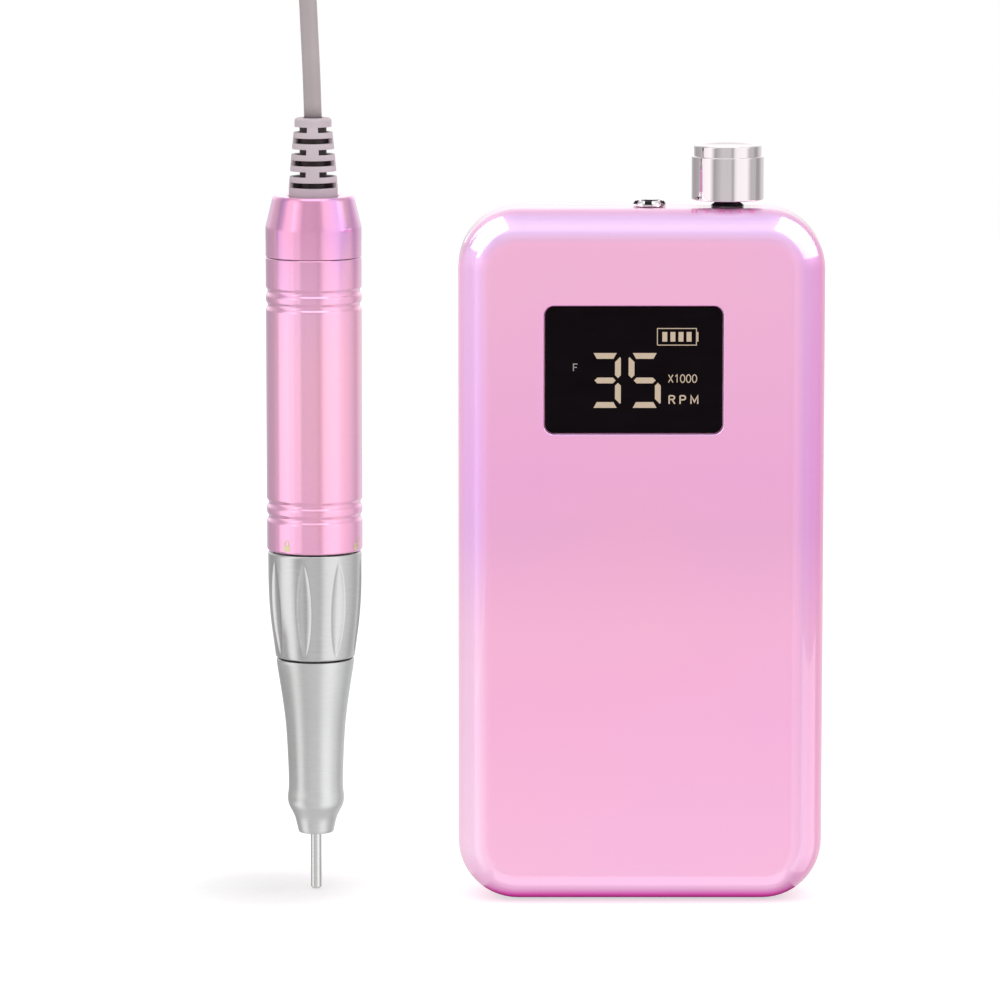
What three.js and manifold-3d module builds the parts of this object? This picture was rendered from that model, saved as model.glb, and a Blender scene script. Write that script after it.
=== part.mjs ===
import * as THREE from 'three';
import Module from 'manifold-3d';
import { mergeVertices } from 'three/addons/utils/BufferGeometryUtils.js';

const wasm = await Module();
wasm.setup();

// All dimensions in millimetres. Origin: centre of the control box's base. -Y is the display side.

// Control box
const BOX_WIDTH = 78.5;
const BOX_DEPTH = 25;
const BOX_HEIGHT = 149.7;
const BOX_CORNER = 12.9;
const BOX_EDGE = 8;
const BOX_WALL = 2.2;
const SPLIT_Y = 6.5;
const SEAM = 0.2;
const CAVITY_Y = BOX_DEPTH / 2 - BOX_WALL;
const FRONT_Y = -BOX_DEPTH / 2;
const TOP_INSIDE = BOX_HEIGHT - BOX_WALL;

// Display
const WINDOW_X = -1.8;
const WINDOW_Z = 115.8;
const WINDOW_WIDTH = 37.8;
const WINDOW_HEIGHT = 27.1;
const WINDOW_CORNER = 1.9;
const WINDOW_THICK = 1.2;
const WINDOW_RECESS = 0.2;
const LEDGE = 1.3;

// Controls on the top and the sides
const CONTROL_Y = 0.5;
const KNOB_X = 18.45;
const KNOB_RADIUS = 7.7;
const KNOB_STEP_RADIUS = 7.2;
const KNOB_BOTTOM = 151.2;
const KNOB_STEP_Z = 160.5;
const KNOB_TOP = 162.9;
const KNOB_HOLLOW_RADIUS = 6.3;
const KNOB_HOLLOW_TOP = 158.6;
const HUB_RADIUS = 3.2;
const HUB_BOTTOM = 152.4;
const SHAFT_RADIUS = 1.5;
const SHAFT_BOTTOM = 140.2;
const SHAFT_TOP = 159.6;
const POT_RADIUS = 6.3;
const POT_NECK_RADIUS = 2.1;
const POT_BOTTOM = 138.6;
const POT_TOP = BOX_HEIGHT - 3;
const ON_TOP = BOX_HEIGHT + 0.15;
const NUT_RADIUS = 3.6;
const NUT_TOP = 151.1;
const FIT_GAP = 0.1;
const JACK_X = 1.75;
const JACK_RADIUS = 3.53;
const JACK_BORE = 1.9;
const JACK_BOTTOM = 132.6;
const JACK_TOP = BOX_HEIGHT - 2.5;
const JACK_NECK_RADIUS = 2.7;
const COLLAR_TOP = 151;
const SWITCH_Z = 111.5;
const CHARGE_Z = 97.5;
const CHARGE_Y = 0.7;

// Screws that hold the back cover
const POST_X = 31.2;
const POST_Z = [9.4, 139.4];
const POST_RADIUS = 3.3;
const SCREW_HEAD_RADIUS = 2.3;
const SCREW_RADIUS = 1.1;

// Battery
const CELL_RADIUS = 9.2;
const CELL_PITCH = 20.2;
const CELL_BOTTOM = 14;
const CELL_TOP = 79.2;
const BRACKET_HEIGHT = 5;
const BRACKET_Z = [15.5, 72.5];

// Handpiece, standing on its pin
const HAND_X = -70.4;
const HAND_Y = 5.3;
const PIN_RADIUS = 1.175;
const PIN_LENGTH = 40;
const NOSE_BOTTOM = 12.46;
const NOSE_TOP = 50.95;
const RING_BOTTOM = 51.35;
const RING_TOP = 74.4;
const BODY_BOTTOM = 74.8;
const BODY_TOP = 138.3;
const BODY_RADIUS = 10.35;
const BODY_BORE = 9.0;
const CAP_BOTTOM = 138.6;
const CAP_TAPER = 145.0;
const CAP_TOP = 151.6;
const BOOT_TOP = 168.3;
const GROOVE_Z = [82.2, 85.2, 128.1, 131.1];
const FLUTES = 8;
const TWIST_RANGE = 90;
const CAM_DROP = 0.8;
const CAM_PIN_Z = 60;
const CAM_PIN_RADIUS = 0.8;

// Cord, and the tied hank that its spare length is folded into
const CORD_RADIUS = 1.9;
const CORD_STEPS = 44;
const HANK_X = -172;
const HANK_Y = 1.5;
const HANK_RUN = 28;
const HANK_INNER = 9.5;
const HANK_OUTER = 17.1;
const HANK_BOTTOM = 0.9;
const HANK_TOP = 12.3;
const TIE_SKIN = 0.6;
const TIE_GAP = 0.2;
const TIE_HALF_WIDTH = 4;
const PLUG_Y = HANK_Y - 13.3;
const PLUG_Z = 16.8;
const PLUG_REAR = -184;
const PLUG_LENGTH = 22;
const TIP_LENGTH = 14;
const CORD_ROUTE = [
  [-70.4, 5.3, 152], [-70.4, 5.3, 168.3], [-70.7, 5.3, 178], [-71.1, 5.3, 187], [-71.6, 5.3, 196],
  [-73.6, 5.3, 208], [-78.8, 5.4, 221], [-88, 5.5, 231.5], [-100, 5.7, 237], [-112.5, 5.9, 237.5],
  [-125, 6.2, 233], [-135.5, 6.5, 224], [-143, 6.8, 211], [-147.6, 7.1, 194], [-150.4, 7.4, 171],
  [-152, 7.6, 146], [-153, 7.8, 121], [-153.7, 7.9, 96], [-154.1, 8, 71], [-154.2, 8, 48],
  [-154.2, 8, 31], [-154.6, 8.1, 18.4], [-156.4, 8.3, 10.8], [-160.6, 8.5, 5.9], [-165.4, 8.8, 3.5],
];

// Facet counts
const FINE = 28;
const MEDIUM = 18;
const COARSE = 12;

const materials = {
  pink_pearl: { color: 0xe9a6cf, roughness: 0.18, metalness: 0.25 },
  window_black: { color: 0x0d0907, roughness: 0.08, metalness: 0.0 },
  display: { color: 0xc3b0a2, roughness: 0.4, metalness: 0.0 },
  board_green: { color: 0x1f5a3a, roughness: 0.55, metalness: 0.0 },
  chrome: { color: 0xdad8d8, roughness: 0.06, metalness: 1.0 },
  black_plastic: { color: 0x17171a, roughness: 0.5, metalness: 0.0 },
  steel: { color: 0xb4b6b9, roughness: 0.3, metalness: 1.0 },
  satin_steel: { color: 0xc4c5c6, roughness: 0.36, metalness: 1.0 },
  brass: { color: 0xc29a4c, roughness: 0.3, metalness: 1.0 },
  nickel: { color: 0xb9b6ac, roughness: 0.35, metalness: 1.0 },
  cell_wrap: { color: 0x3f7fc4, roughness: 0.4, metalness: 0.0 },
  white_plastic: { color: 0xe6e4df, roughness: 0.5, metalness: 0.0 },
  magnet: { color: 0x4d4c50, roughness: 0.45, metalness: 0.7 },
  copper: { color: 0xb5622d, roughness: 0.35, metalness: 1.0 },
  carbon: { color: 0x2a292b, roughness: 0.7, metalness: 0.1 },
  felt: { color: 0x8c8880, roughness: 0.95, metalness: 0.0 },
  cord_grey: { color: 0xb7a8ac, roughness: 0.5, metalness: 0.0 },
  strap: { color: 0x2e2c30, roughness: 0.85, metalness: 0.0 },
  wire_red: { color: 0xb02a26, roughness: 0.5, metalness: 0.0 },
};

function part(group, name, geometry, materialName) {
  const settings = materials[materialName];
  const material = new THREE.MeshStandardMaterial(settings);
  const mesh = new THREE.Mesh(geometry, material);
  mesh.name = name;
  group.add(mesh);
}

function solidOf(geometry) {
  const plain = geometry.clone();
  plain.deleteAttribute('normal');
  plain.deleteAttribute('uv');
  const merged = mergeVertices(plain, 1e-4);
  const index = merged.index.array;
  const kept = [];
  for (let i = 0; i < index.length; i += 3) {
    const a = index[i];
    const b = index[i + 1];
    const c = index[i + 2];
    if (a !== b && b !== c && c !== a) {
      kept.push(a, b, c);
    }
  }
  const mesh = new wasm.Mesh({
    numProp: 3,
    vertProperties: new Float32Array(merged.attributes.position.array),
    triVerts: new Uint32Array(kept),
  });
  return new wasm.Manifold(mesh);
}

function geometryOf(solid) {
  const mesh = solid.getMesh();
  const geometry = new THREE.BufferGeometry();
  geometry.setAttribute('position', new THREE.BufferAttribute(new Float32Array(mesh.vertProperties), 3));
  geometry.setIndex(new THREE.BufferAttribute(new Uint32Array(mesh.triVerts), 1));
  geometry.computeVertexNormals();
  return geometry;
}

function without(geometry, cutters) {
  let solid = solidOf(geometry);
  for (const cutter of cutters) {
    solid = solid.subtract(solidOf(cutter));
  }
  return geometryOf(solid);
}

function joined(geometries) {
  let solid = solidOf(geometries[0]);
  for (const geometry of geometries.slice(1)) {
    solid = solid.add(solidOf(geometry));
  }
  return geometryOf(solid);
}

function common(first, second) {
  return geometryOf(solidOf(first).intersect(solidOf(second)));
}

function block(x, y, z) {
  const geometry = new THREE.BoxGeometry(x[1] - x[0], y[1] - y[0], z[1] - z[0]);
  geometry.translate((x[0] + x[1]) / 2, (y[0] + y[1]) / 2, (z[0] + z[1]) / 2);
  return geometry;
}

// A body turned about a vertical axis. The profile lists [radius, z], outer side upwards.
function turned(profile, segments, x = 0, y = 0) {
  const points = profile.map(([radius, height]) => new THREE.Vector2(radius, height));
  const geometry = new THREE.LatheGeometry(points, segments);
  geometry.rotateX(Math.PI / 2);
  geometry.translate(x, y, 0);
  return geometry;
}

function ring(inner, outer, z, segments, x = 0, y = 0) {
  const profile = [
    [inner, z[0]], [outer, z[0]], [outer, z[1]], [inner, z[1]], [inner, z[0]],
  ];
  return turned(profile, segments, x, y);
}

function disc(radius, z, segments, x = 0, y = 0) {
  return turned([[0, z[0]], [radius, z[0]], [radius, z[1]], [0, z[1]]], segments, x, y);
}

// A cylinder lying along X or Y.
function lyingRod(direction, radius, span, across, z, segments) {
  const geometry = new THREE.CylinderGeometry(radius, radius, span[1] - span[0], segments);
  const middle = (span[0] + span[1]) / 2;
  if (direction === 'x') {
    geometry.rotateZ(Math.PI / 2);
    geometry.translate(middle, across, z);
  } else {
    geometry.translate(across, middle, z);
  }
  return geometry;
}

function roundedRectangle(width, height, radius) {
  const w = width / 2;
  const h = height / 2;
  const shape = new THREE.Shape();
  shape.moveTo(w - radius, -h);
  shape.absarc(w - radius, -h + radius, radius, -Math.PI / 2, 0, false);
  shape.absarc(w - radius, h - radius, radius, 0, Math.PI / 2, false);
  shape.absarc(-w + radius, h - radius, radius, Math.PI / 2, Math.PI, false);
  shape.absarc(-w + radius, -h + radius, radius, Math.PI, Math.PI * 1.5, false);
  return shape;
}

// A flat plate in the XZ plane between two Y values.
function plate(width, height, radius, x, z, y) {
  const shape = roundedRectangle(width, height, radius);
  const geometry = new THREE.ExtrudeGeometry(shape, {
    depth: y[1] - y[0],
    bevelEnabled: false,
    curveSegments: 4,
  });
  geometry.rotateX(Math.PI / 2);
  geometry.translate(x, y[1], z);
  return geometry;
}

// The box's rounded outline, taken in from the outer surface by inset.
function roundedBox(inset) {
  const width = BOX_WIDTH - 2 * BOX_EDGE;
  const height = BOX_HEIGHT - 2 * BOX_EDGE;
  const shape = roundedRectangle(width, height, BOX_CORNER - BOX_EDGE);
  const depth = BOX_DEPTH - 2 * BOX_EDGE;
  const edge = BOX_EDGE - inset;
  const geometry = new THREE.ExtrudeGeometry(shape, {
    depth,
    bevelEnabled: true,
    bevelThickness: edge,
    bevelSize: edge,
    bevelSegments: 3,
    curveSegments: 4,
  });
  geometry.rotateX(Math.PI / 2);
  geometry.translate(0, depth / 2, BOX_HEIGHT / 2);
  return geometry;
}

function postPlaces() {
  const places = [];
  for (const z of POST_Z) {
    places.push([-POST_X, z], [POST_X, z]);
  }
  return places;
}

function frontShell() {
  const limit = SPLIT_Y - SEAM / 2;
  const half = block([-50, 50], [-20, limit], [-5, 160]);
  const skin = without(common(roundedBox(0), half), [roundedBox(BOX_WALL)]);
  const posts = postPlaces().map(([x, z]) => lyingRod('y', POST_RADIUS, [-10.8, 5.9], x, z, COARSE));
  const holes = postPlaces().map(([x, z]) => lyingRod('y', SCREW_RADIUS + 0.3, [-2, 8], x, z, 12));
  const recess = [FRONT_Y - 1, FRONT_Y + LEDGE + 0.2];
  const opening = SEAM * 2;
  const cutters = [
    plate(WINDOW_WIDTH + opening, WINDOW_HEIGHT + opening, WINDOW_CORNER, WINDOW_X, WINDOW_Z, recess),
    plate(WINDOW_WIDTH - 2, WINDOW_HEIGHT - 2, 1, WINDOW_X, WINDOW_Z, [FRONT_Y, -CAVITY_Y + 1]),
    disc(2.5, [TOP_INSIDE - 1, BOX_HEIGHT + 1], COARSE, KNOB_X, CONTROL_Y),
    disc(2.95, [TOP_INSIDE - 1, BOX_HEIGHT + 1], COARSE, JACK_X, CONTROL_Y),
    block([36, 41], [-2.2, 2.2], [SWITCH_Z - 6.6, SWITCH_Z + 6.6]),
    lyingRod('x', 3, [-41, -36], CHARGE_Y, CHARGE_Z, COARSE),
  ];
  return without(joined([skin, ...posts]), [...cutters, ...holes]);
}

function backCover() {
  const limit = SPLIT_Y + SEAM / 2;
  const half = block([-50, 50], [limit, 20], [-5, 160]);
  const skin = without(common(roundedBox(0), half), [roundedBox(BOX_WALL)]);
  const bosses = postPlaces().map(([x, z]) => lyingRod('y', 3.7, [limit, 10.8], x, z, COARSE));
  const sinks = postPlaces().map(([x, z]) => lyingRod('y', 2.6, [9, 14], x, z, COARSE));
  const holes = postPlaces().map(([x, z]) => lyingRod('y', SCREW_RADIUS + 0.3, [5, 10], x, z, 12));
  return without(joined([skin, ...bosses]), [...sinks, ...holes]);
}

function coverScrew(x, z) {
  const profile = [
    [0, -10.9], [SCREW_HEAD_RADIUS, -10.9], [SCREW_HEAD_RADIUS, -9.2], [SCREW_RADIUS, -9.2],
    [SCREW_RADIUS, -0.2], [0, 1],
  ];
  const geometry = turned(profile, 10);
  geometry.rotateX(Math.PI / 2);
  geometry.translate(x, 0, z);
  return geometry;
}

function displayWindow() {
  const y = [FRONT_Y + WINDOW_RECESS, FRONT_Y + WINDOW_RECESS + WINDOW_THICK];
  return plate(WINDOW_WIDTH, WINDOW_HEIGHT, WINDOW_CORNER - 0.2, WINDOW_X, WINDOW_Z, y);
}

function displayModule() {
  const x = [WINDOW_X - 17, WINDOW_X + 17];
  return block(x, [-10.9, -5.1], [WINDOW_Z - 12, WINDOW_Z + 12]);
}

function mainBoard() {
  const board = block([-33, 33], [-4.9, -3.3], [84, 131]);
  const chips = [
    block([-8, 0], [-3.4, -1.8], [104, 112]),
    block([6, 12], [-3.4, -1.6], [92, 99]),
    block([-20, -13], [-3.4, 0.2], [108, 115]),
    lyingRod('y', 3.2, [-3.4, 5.5], 2, 120, COARSE),
    lyingRod('y', 3.2, [-3.4, 5.5], -10, 122, COARSE),
    block([20, 26], [-3.4, 0.8], [88, 97]),
  ];
  return joined([board, ...chips]);
}

function protectionBoard() {
  const board = block([-28, 28], [-8, 8], [80.6, 81.6]);
  const chips = [
    block([-20, -15], [-3, 3], [81.5, 82.7]),
    block([-12, -7], [-3, 3], [81.5, 82.7]),
    block([14, 18], [-2, 2], [81.5, 82.5]),
  ];
  return joined([board, ...chips]);
}

function cell(index) {
  const flipped = index === 1;
  const button = 0.6;
  const low = flipped ? CELL_BOTTOM + button : CELL_BOTTOM;
  const high = flipped ? CELL_TOP : CELL_TOP - button;
  const profile = [[0, low], [CELL_RADIUS, low], [CELL_RADIUS, high]];
  if (flipped) {
    profile.splice(0, 1, [0, low - button], [3.2, low - button], [3.2, low]);
    profile.push([0, high]);
  } else {
    profile.push([3.2, high], [3.2, high + button], [0, high + button]);
  }
  return turned(profile, MEDIUM, (index - 1) * CELL_PITCH, 0);
}

function cellBracket(bottom) {
  const top = bottom + BRACKET_HEIGHT;
  const body = block([-30.7, 30.7], [-10, 10], [bottom, top]);
  const holes = [-1, 0, 1].map((i) => disc(CELL_RADIUS + 0.2, [bottom - 1, top + 1], MEDIUM, i * CELL_PITCH, 0));
  return without(body, holes);
}

function nickelStrip(from, to, z) {
  return block([from, to], [-3, 3], [z, z + 0.3]);
}

function potentiometerBody() {
  const neckTop = ON_TOP + 0.6;
  const bore = SHAFT_RADIUS + FIT_GAP;
  const floor = SHAFT_BOTTOM - 0.2;
  const profile = [
    [0, POT_BOTTOM], [POT_RADIUS, POT_BOTTOM], [POT_RADIUS, POT_TOP], [POT_NECK_RADIUS, POT_TOP],
    [POT_NECK_RADIUS, neckTop], [bore, neckTop], [bore, floor], [0, floor],
  ];
  return turned(profile, MEDIUM, KNOB_X, CONTROL_Y);
}

function potNut() {
  const inside = POT_NECK_RADIUS + FIT_GAP;
  const profile = [
    [inside, ON_TOP], [NUT_RADIUS, ON_TOP], [NUT_RADIUS - 0.3, ON_TOP + 0.3],
    [NUT_RADIUS - 0.9, ON_TOP + 0.75], [NUT_RADIUS - 1.1, NUT_TOP], [inside, NUT_TOP], [inside, ON_TOP],
  ];
  return turned(profile, COARSE, KNOB_X, CONTROL_Y);
}

function potShaft() {
  return disc(SHAFT_RADIUS, [SHAFT_BOTTOM, SHAFT_TOP], COARSE, KNOB_X, CONTROL_Y);
}

function speedKnob() {
  const bore = SHAFT_RADIUS + FIT_GAP;
  const boreTop = SHAFT_TOP + 0.2;
  const bevel = 0.35;
  const profile = [
    [0, boreTop], [bore, boreTop], [bore, HUB_BOTTOM], [HUB_RADIUS, HUB_BOTTOM],
    [HUB_RADIUS, KNOB_HOLLOW_TOP], [KNOB_HOLLOW_RADIUS, KNOB_HOLLOW_TOP],
    [KNOB_HOLLOW_RADIUS, KNOB_BOTTOM], [KNOB_RADIUS, KNOB_BOTTOM], [KNOB_RADIUS, KNOB_STEP_Z],
    [KNOB_STEP_RADIUS, KNOB_STEP_Z], [KNOB_STEP_RADIUS, KNOB_TOP - bevel],
    [KNOB_STEP_RADIUS - bevel, KNOB_TOP], [0, KNOB_TOP],
  ];
  return turned(profile, FINE, KNOB_X, CONTROL_Y);
}

function jackBody() {
  const half = 4.5;
  const neckTop = BOX_HEIGHT + 0.4;
  const x = [JACK_X - half, JACK_X + half];
  const y = [CONTROL_Y - half, CONTROL_Y + half];
  const housing = block(x, y, [JACK_BOTTOM, JACK_TOP]);
  const neck = disc(JACK_NECK_RADIUS, [JACK_TOP - 0.3, neckTop], COARSE, JACK_X, CONTROL_Y);
  const bore = disc(JACK_BORE, [JACK_BOTTOM + 1.4, neckTop + 1], COARSE, JACK_X, CONTROL_Y);
  return without(joined([housing, neck]), [bore]);
}

function jackCollar() {
  const inside = JACK_NECK_RADIUS + 0.2;
  const lip = ON_TOP + 0.5;
  const bevel = 0.4;
  const profile = [
    [inside, ON_TOP], [JACK_RADIUS, ON_TOP], [JACK_RADIUS, COLLAR_TOP - bevel],
    [JACK_RADIUS - bevel, COLLAR_TOP], [JACK_BORE, COLLAR_TOP], [JACK_BORE, lip], [inside, lip],
    [inside, ON_TOP],
  ];
  return turned(profile, MEDIUM, JACK_X, CONTROL_Y);
}

function directionSwitchBody() {
  const body = block([27, 33.2], [-2.9, 2.9], [SWITCH_Z - 7, SWITCH_Z + 7]);
  return without(body, [block([30.5, 34], [-1.2, 1.2], [SWITCH_Z - 4.5, SWITCH_Z + 4.5])]);
}

function directionSlider() {
  const top = SWITCH_Z + 6.3;
  const plateBlock = block([35.6, 38.9], [-1.9, 1.9], [top - 7.5, top]);
  const stem = block([31, 36], [-0.9, 0.9], [SWITCH_Z + 1.3, SWITCH_Z + 4.1]);
  const grips = [1.2, 3, 4.8].map((drop) => block([38.4, 40], [-3, 3], [top - drop - 1, top - drop]));
  return without(joined([plateBlock, stem]), grips);
}

function chargeSocket() {
  const side = 3.7;
  const y = [CHARGE_Y - side, CHARGE_Y + side];
  const housing = block([-36.8, -26], y, [CHARGE_Z - side, CHARGE_Z + side]);
  const neck = lyingRod('x', 2.7, [-38.9, -36], CHARGE_Y, CHARGE_Z, COARSE);
  const bore = lyingRod('x', 1.8, [-40, -29], CHARGE_Y, CHARGE_Z, COARSE);
  const pin = lyingRod('x', 0.6, [-38, -28.5], CHARGE_Y, CHARGE_Z, 8);
  return joined([without(joined([housing, neck]), [bore]), pin]);
}

function tubeAlong(route, radius, sides, steps) {
  const points = route.map((point) => new THREE.Vector3(...point));
  const path = new THREE.CatmullRomCurve3(points, false, 'centripetal');
  const shape = new THREE.Shape();
  for (let i = 0; i < sides; i += 1) {
    const angle = (i / sides) * Math.PI * 2;
    const x = Math.cos(angle) * radius;
    const y = Math.sin(angle) * radius;
    if (i === 0) {
      shape.moveTo(x, y);
    } else {
      shape.lineTo(x, y);
    }
  }
  shape.closePath();
  return new THREE.ExtrudeGeometry(shape, { steps, extrudePath: path, bevelEnabled: false });
}

function batteryLead() {
  const route = [[8, 5, 82.1], [8, 5.5, 87], [8, 3, 102], [8, 0, 105.5], [8, -2.7, 106.2]];
  return tubeAlong(route, 0.9, 6, 12);
}

function handTurned(profile, segments) {
  return turned(profile, segments, HAND_X, HAND_Y);
}

function handRing(inner, outer, z, segments) {
  return ring(inner, outer, z, segments, HAND_X, HAND_Y);
}

function handBlock(x, y, z) {
  const geometry = block(x, y, z);
  geometry.translate(HAND_X, HAND_Y, 0);
  return geometry;
}

// A short rod pointing outwards from the handpiece's axis.
function radialRod(radius, span, z, degrees, segments) {
  const geometry = lyingRod('x', radius, span, 0, z, segments);
  geometry.rotateZ(THREE.MathUtils.degToRad(degrees));
  geometry.translate(HAND_X, HAND_Y, 0);
  return geometry;
}

function blankPin() {
  const chamfer = 0.25;
  const profile = [
    [0, 0], [PIN_RADIUS - chamfer, 0], [PIN_RADIUS, chamfer], [PIN_RADIUS, PIN_LENGTH - chamfer],
    [PIN_RADIUS - chamfer, PIN_LENGTH], [0, PIN_LENGTH],
  ];
  return handTurned(profile, MEDIUM);
}

function collet() {
  const profile = [
    [0, 41], [1.28, 41], [1.28, 13.3], [2.2, 13.3], [2.4, 13.7], [2.4, 14.6], [1.9, 16.2], [1.9, 59.3],
    [0, 59.3],
  ];
  const slits = [0, 120, 240].map((angle) => {
    const slit = block([0.8, 4], [-0.2, 0.2], [12, 27]);
    slit.rotateZ(THREE.MathUtils.degToRad(angle));
    slit.translate(HAND_X, HAND_Y, 0);
    return slit;
  });
  const crossHole = lyingRod('x', 0.9, [HAND_X - 3, HAND_X + 3], HAND_Y, 57.8, 10);
  return without(handTurned(profile, MEDIUM), [...slits, crossHole]);
}

function thrustRing() {
  const outer = handRing(3.1, 4.0, [56.9, 58.8], MEDIUM);
  const bar = lyingRod('x', 0.6, [HAND_X - 3.5, HAND_X + 3.5], HAND_Y, 57.8, 8);
  return joined([outer, bar]);
}

function colletSpring() {
  const turns = 5;
  const perTurn = 10;
  const route = [];
  for (let i = 0; i <= turns * perTurn; i += 1) {
    const angle = (i / perTurn) * Math.PI * 2;
    const z = 42.4 + (13 * i) / (turns * perTurn);
    route.push([HAND_X + 3.6 * Math.cos(angle), HAND_Y + 3.6 * Math.sin(angle), z]);
  }
  return tubeAlong(route, 0.3, 5, turns * perTurn);
}

function spindle() {
  const profile = [
    [0, 66], [2.02, 66], [2.02, 16.7], [3, 16.7], [3, 40.4], [3.9, 40.4], [3.9, 41.7], [3, 41.7], [3, 70],
    [1.5, 70], [1.5, 72.8], [0, 72.8],
  ];
  const slot = handBlock([-4, 4], [-0.9, 0.9], [55.4, 60.2]);
  return without(handTurned(profile, MEDIUM), [slot]);
}

function noseCone() {
  const profile = [
    [2.7, NOSE_BOTTOM], [3.6, NOSE_BOTTOM], [3.93, 12.9], [4.58, 15.84], [5.89, 18.5], [6.11, 20.5],
    [5.9, 22.8], [6.0, 27.8], [6.42, 35.8], [7.04, 41.1], [7.85, 46.4], [8.4, 50], [8.4, NOSE_TOP],
    [5.25, NOSE_TOP], [5.25, 23], [5, 23], [5, 18.3], [3.9, 18.3], [3.9, 16.3], [2.7, 16.3],
    [2.7, NOSE_BOTTOM],
  ];
  return handTurned(profile, FINE);
}

function chuckHousing() {
  const profile = [
    [4.2, 23.3], [5, 23.3], [5, 74.9], [8.7, 74.9], [8.7, 77], [4.2, 77], [4.2, 23.3],
  ];
  const slot = handBlock([-6, 6], [-1.1, 1.1], [CAM_PIN_Z - 2, CAM_PIN_Z + 1.2]);
  return without(handTurned(profile, MEDIUM), [slot]);
}

function pushSleeve() {
  const sleeve = handRing(5.2, 6.4, [57.5, 62.5], MEDIUM);
  const pins = [0, 180].map((angle) => radialRod(CAM_PIN_RADIUS, [3.3, 7.2], CAM_PIN_Z, angle, 10));
  return joined([sleeve, ...pins]);
}

function camRing() {
  const body = handRing(6.6, 7.4, [54, 70], FINE);
  const steps = 7;
  const cutters = [];
  for (let i = 0; i <= steps; i += 1) {
    const turn = (TWIST_RANGE * i) / steps;
    const z = CAM_PIN_Z - (CAM_DROP * i) / steps;
    cutters.push(radialRod(1.4, [6, 8], z, -turn, 8));
    cutters.push(radialRod(1.4, [6, 8], z, 180 - turn, 8));
  }
  return without(body, cutters);
}

function twistRing() {
  const profile = [
    [7.6, RING_BOTTOM], [8.55, RING_BOTTOM], [9.12, 55.6], [9.77, 61], [10.06, 66.2], [10.12, 71],
    [10.12, RING_TOP], [7.6, RING_TOP], [7.6, RING_BOTTOM],
  ];
  const cutters = [];
  for (let i = 0; i < FLUTES; i += 1) {
    const flute = new THREE.SphereGeometry(1, 8, 6);
    flute.rotateX(Math.PI / 2);
    flute.scale(0.75, 1.7, 10.6);
    flute.rotateY(-0.05);
    flute.translate(9.95, 0, 62.6);
    flute.rotateZ(THREE.MathUtils.degToRad(-90 - 11 + (360 * i) / FLUTES));
    flute.translate(HAND_X, HAND_Y, 0);
    cutters.push(flute);
  }
  return without(handTurned(profile, FINE), cutters);
}

function driveCoupling() {
  const profile = [
    [1.6, 70.3], [3, 70.3], [3, 76.6], [1.3, 76.6], [1.3, 73.4], [1.6, 73.4], [1.6, 70.3],
  ];
  return handTurned(profile, MEDIUM);
}

function motorCan() {
  const profile = [
    [1.5, 77.4], [8.7, 77.4], [8.7, 121], [7.9, 121], [7.9, 79.4], [1.5, 79.4], [1.5, 77.4],
  ];
  return handTurned(profile, MEDIUM);
}

function magnet(side) {
  const half = THREE.MathUtils.degToRad(70);
  const middle = side * (Math.PI / 2);
  const shape = new THREE.Shape();
  shape.absarc(0, 0, 7.7, middle - half, middle + half, false);
  shape.absarc(0, 0, 6.8, middle + half, middle - half, true);
  shape.closePath();
  const geometry = new THREE.ExtrudeGeometry(shape, { depth: 27, bevelEnabled: false, curveSegments: 10 });
  geometry.translate(HAND_X, HAND_Y, 84);
  return geometry;
}

function motorShaft() {
  return handTurned([[0, 73.5], [1.15, 73.5], [1.15, 124], [0, 124]], COARSE);
}

const POLES = 5;

function armature() {
  const profile = [
    [1.25, 84.4], [2.2, 84.4], [2.2, 86], [6.3, 86], [6.3, 108], [1.9, 108], [1.9, 112.8], [2.6, 112.8],
    [2.6, 118], [1.25, 118], [1.25, 84.4],
  ];
  const cutters = [];
  for (let i = 0; i < POLES; i += 1) {
    const slot = joined([
      block([3.4, 7], [-0.45, 0.45], [85.5, 109]),
      block([3, 5.4], [-1.4, 1.4], [85.5, 109]),
    ]);
    slot.rotateZ((i / POLES) * Math.PI * 2);
    slot.translate(HAND_X, HAND_Y, 0);
    cutters.push(slot);
  }
  return without(handTurned(profile, MEDIUM), cutters);
}

function windings() {
  const bars = [];
  for (let i = 0; i < POLES; i += 1) {
    const bar = block([3.2, 5.2], [-1.2, 1.2], [84.6, 109.8]);
    bar.rotateZ((i / POLES) * Math.PI * 2);
    bar.translate(HAND_X, HAND_Y, 0);
    bars.push(bar);
  }
  const lower = handRing(2.5, 5.6, [84.2, 85.8], MEDIUM);
  const upper = handRing(2.5, 5.6, [108.2, 110], MEDIUM);
  return joined([lower, upper, ...bars]);
}

function brush(side) {
  const x = side > 0 ? [2.8, 5.8] : [-5.8, -2.8];
  return handBlock(x, [-1.1, 1.1], [113.6, 116.6]);
}

function motorEndCap() {
  const cap = handRing(1.5, 8.6, [121.2, 123.8], MEDIUM);
  const arms = [1, -1].map((side) => {
    const x = side > 0 ? [6.1, 7.5] : [-7.5, -6.1];
    return handBlock(x, [-1.6, 1.6], [112.6, 121.4]);
  });
  const tabs = [1, -1].map((side) => {
    const x = side > 0 ? [4, 6.4] : [-6.4, -4];
    return handBlock(x, [-0.3, 0.3], [123.6, 128]);
  });
  return joined([cap, ...arms, ...tabs]);
}

function bodyTube() {
  const profile = [[BODY_BORE, BODY_BOTTOM], [10.1, BODY_BOTTOM], [10.3, 75.1]];
  for (const z of GROOVE_Z) {
    profile.push([BODY_RADIUS, z - 0.9], [BODY_RADIUS - 0.45, z], [BODY_RADIUS, z + 0.9]);
  }
  profile.push([BODY_RADIUS, BODY_TOP]);
  profile.push([BODY_BORE, BODY_TOP], [BODY_BORE, BODY_BOTTOM]);
  return handTurned(profile, FINE);
}

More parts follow.
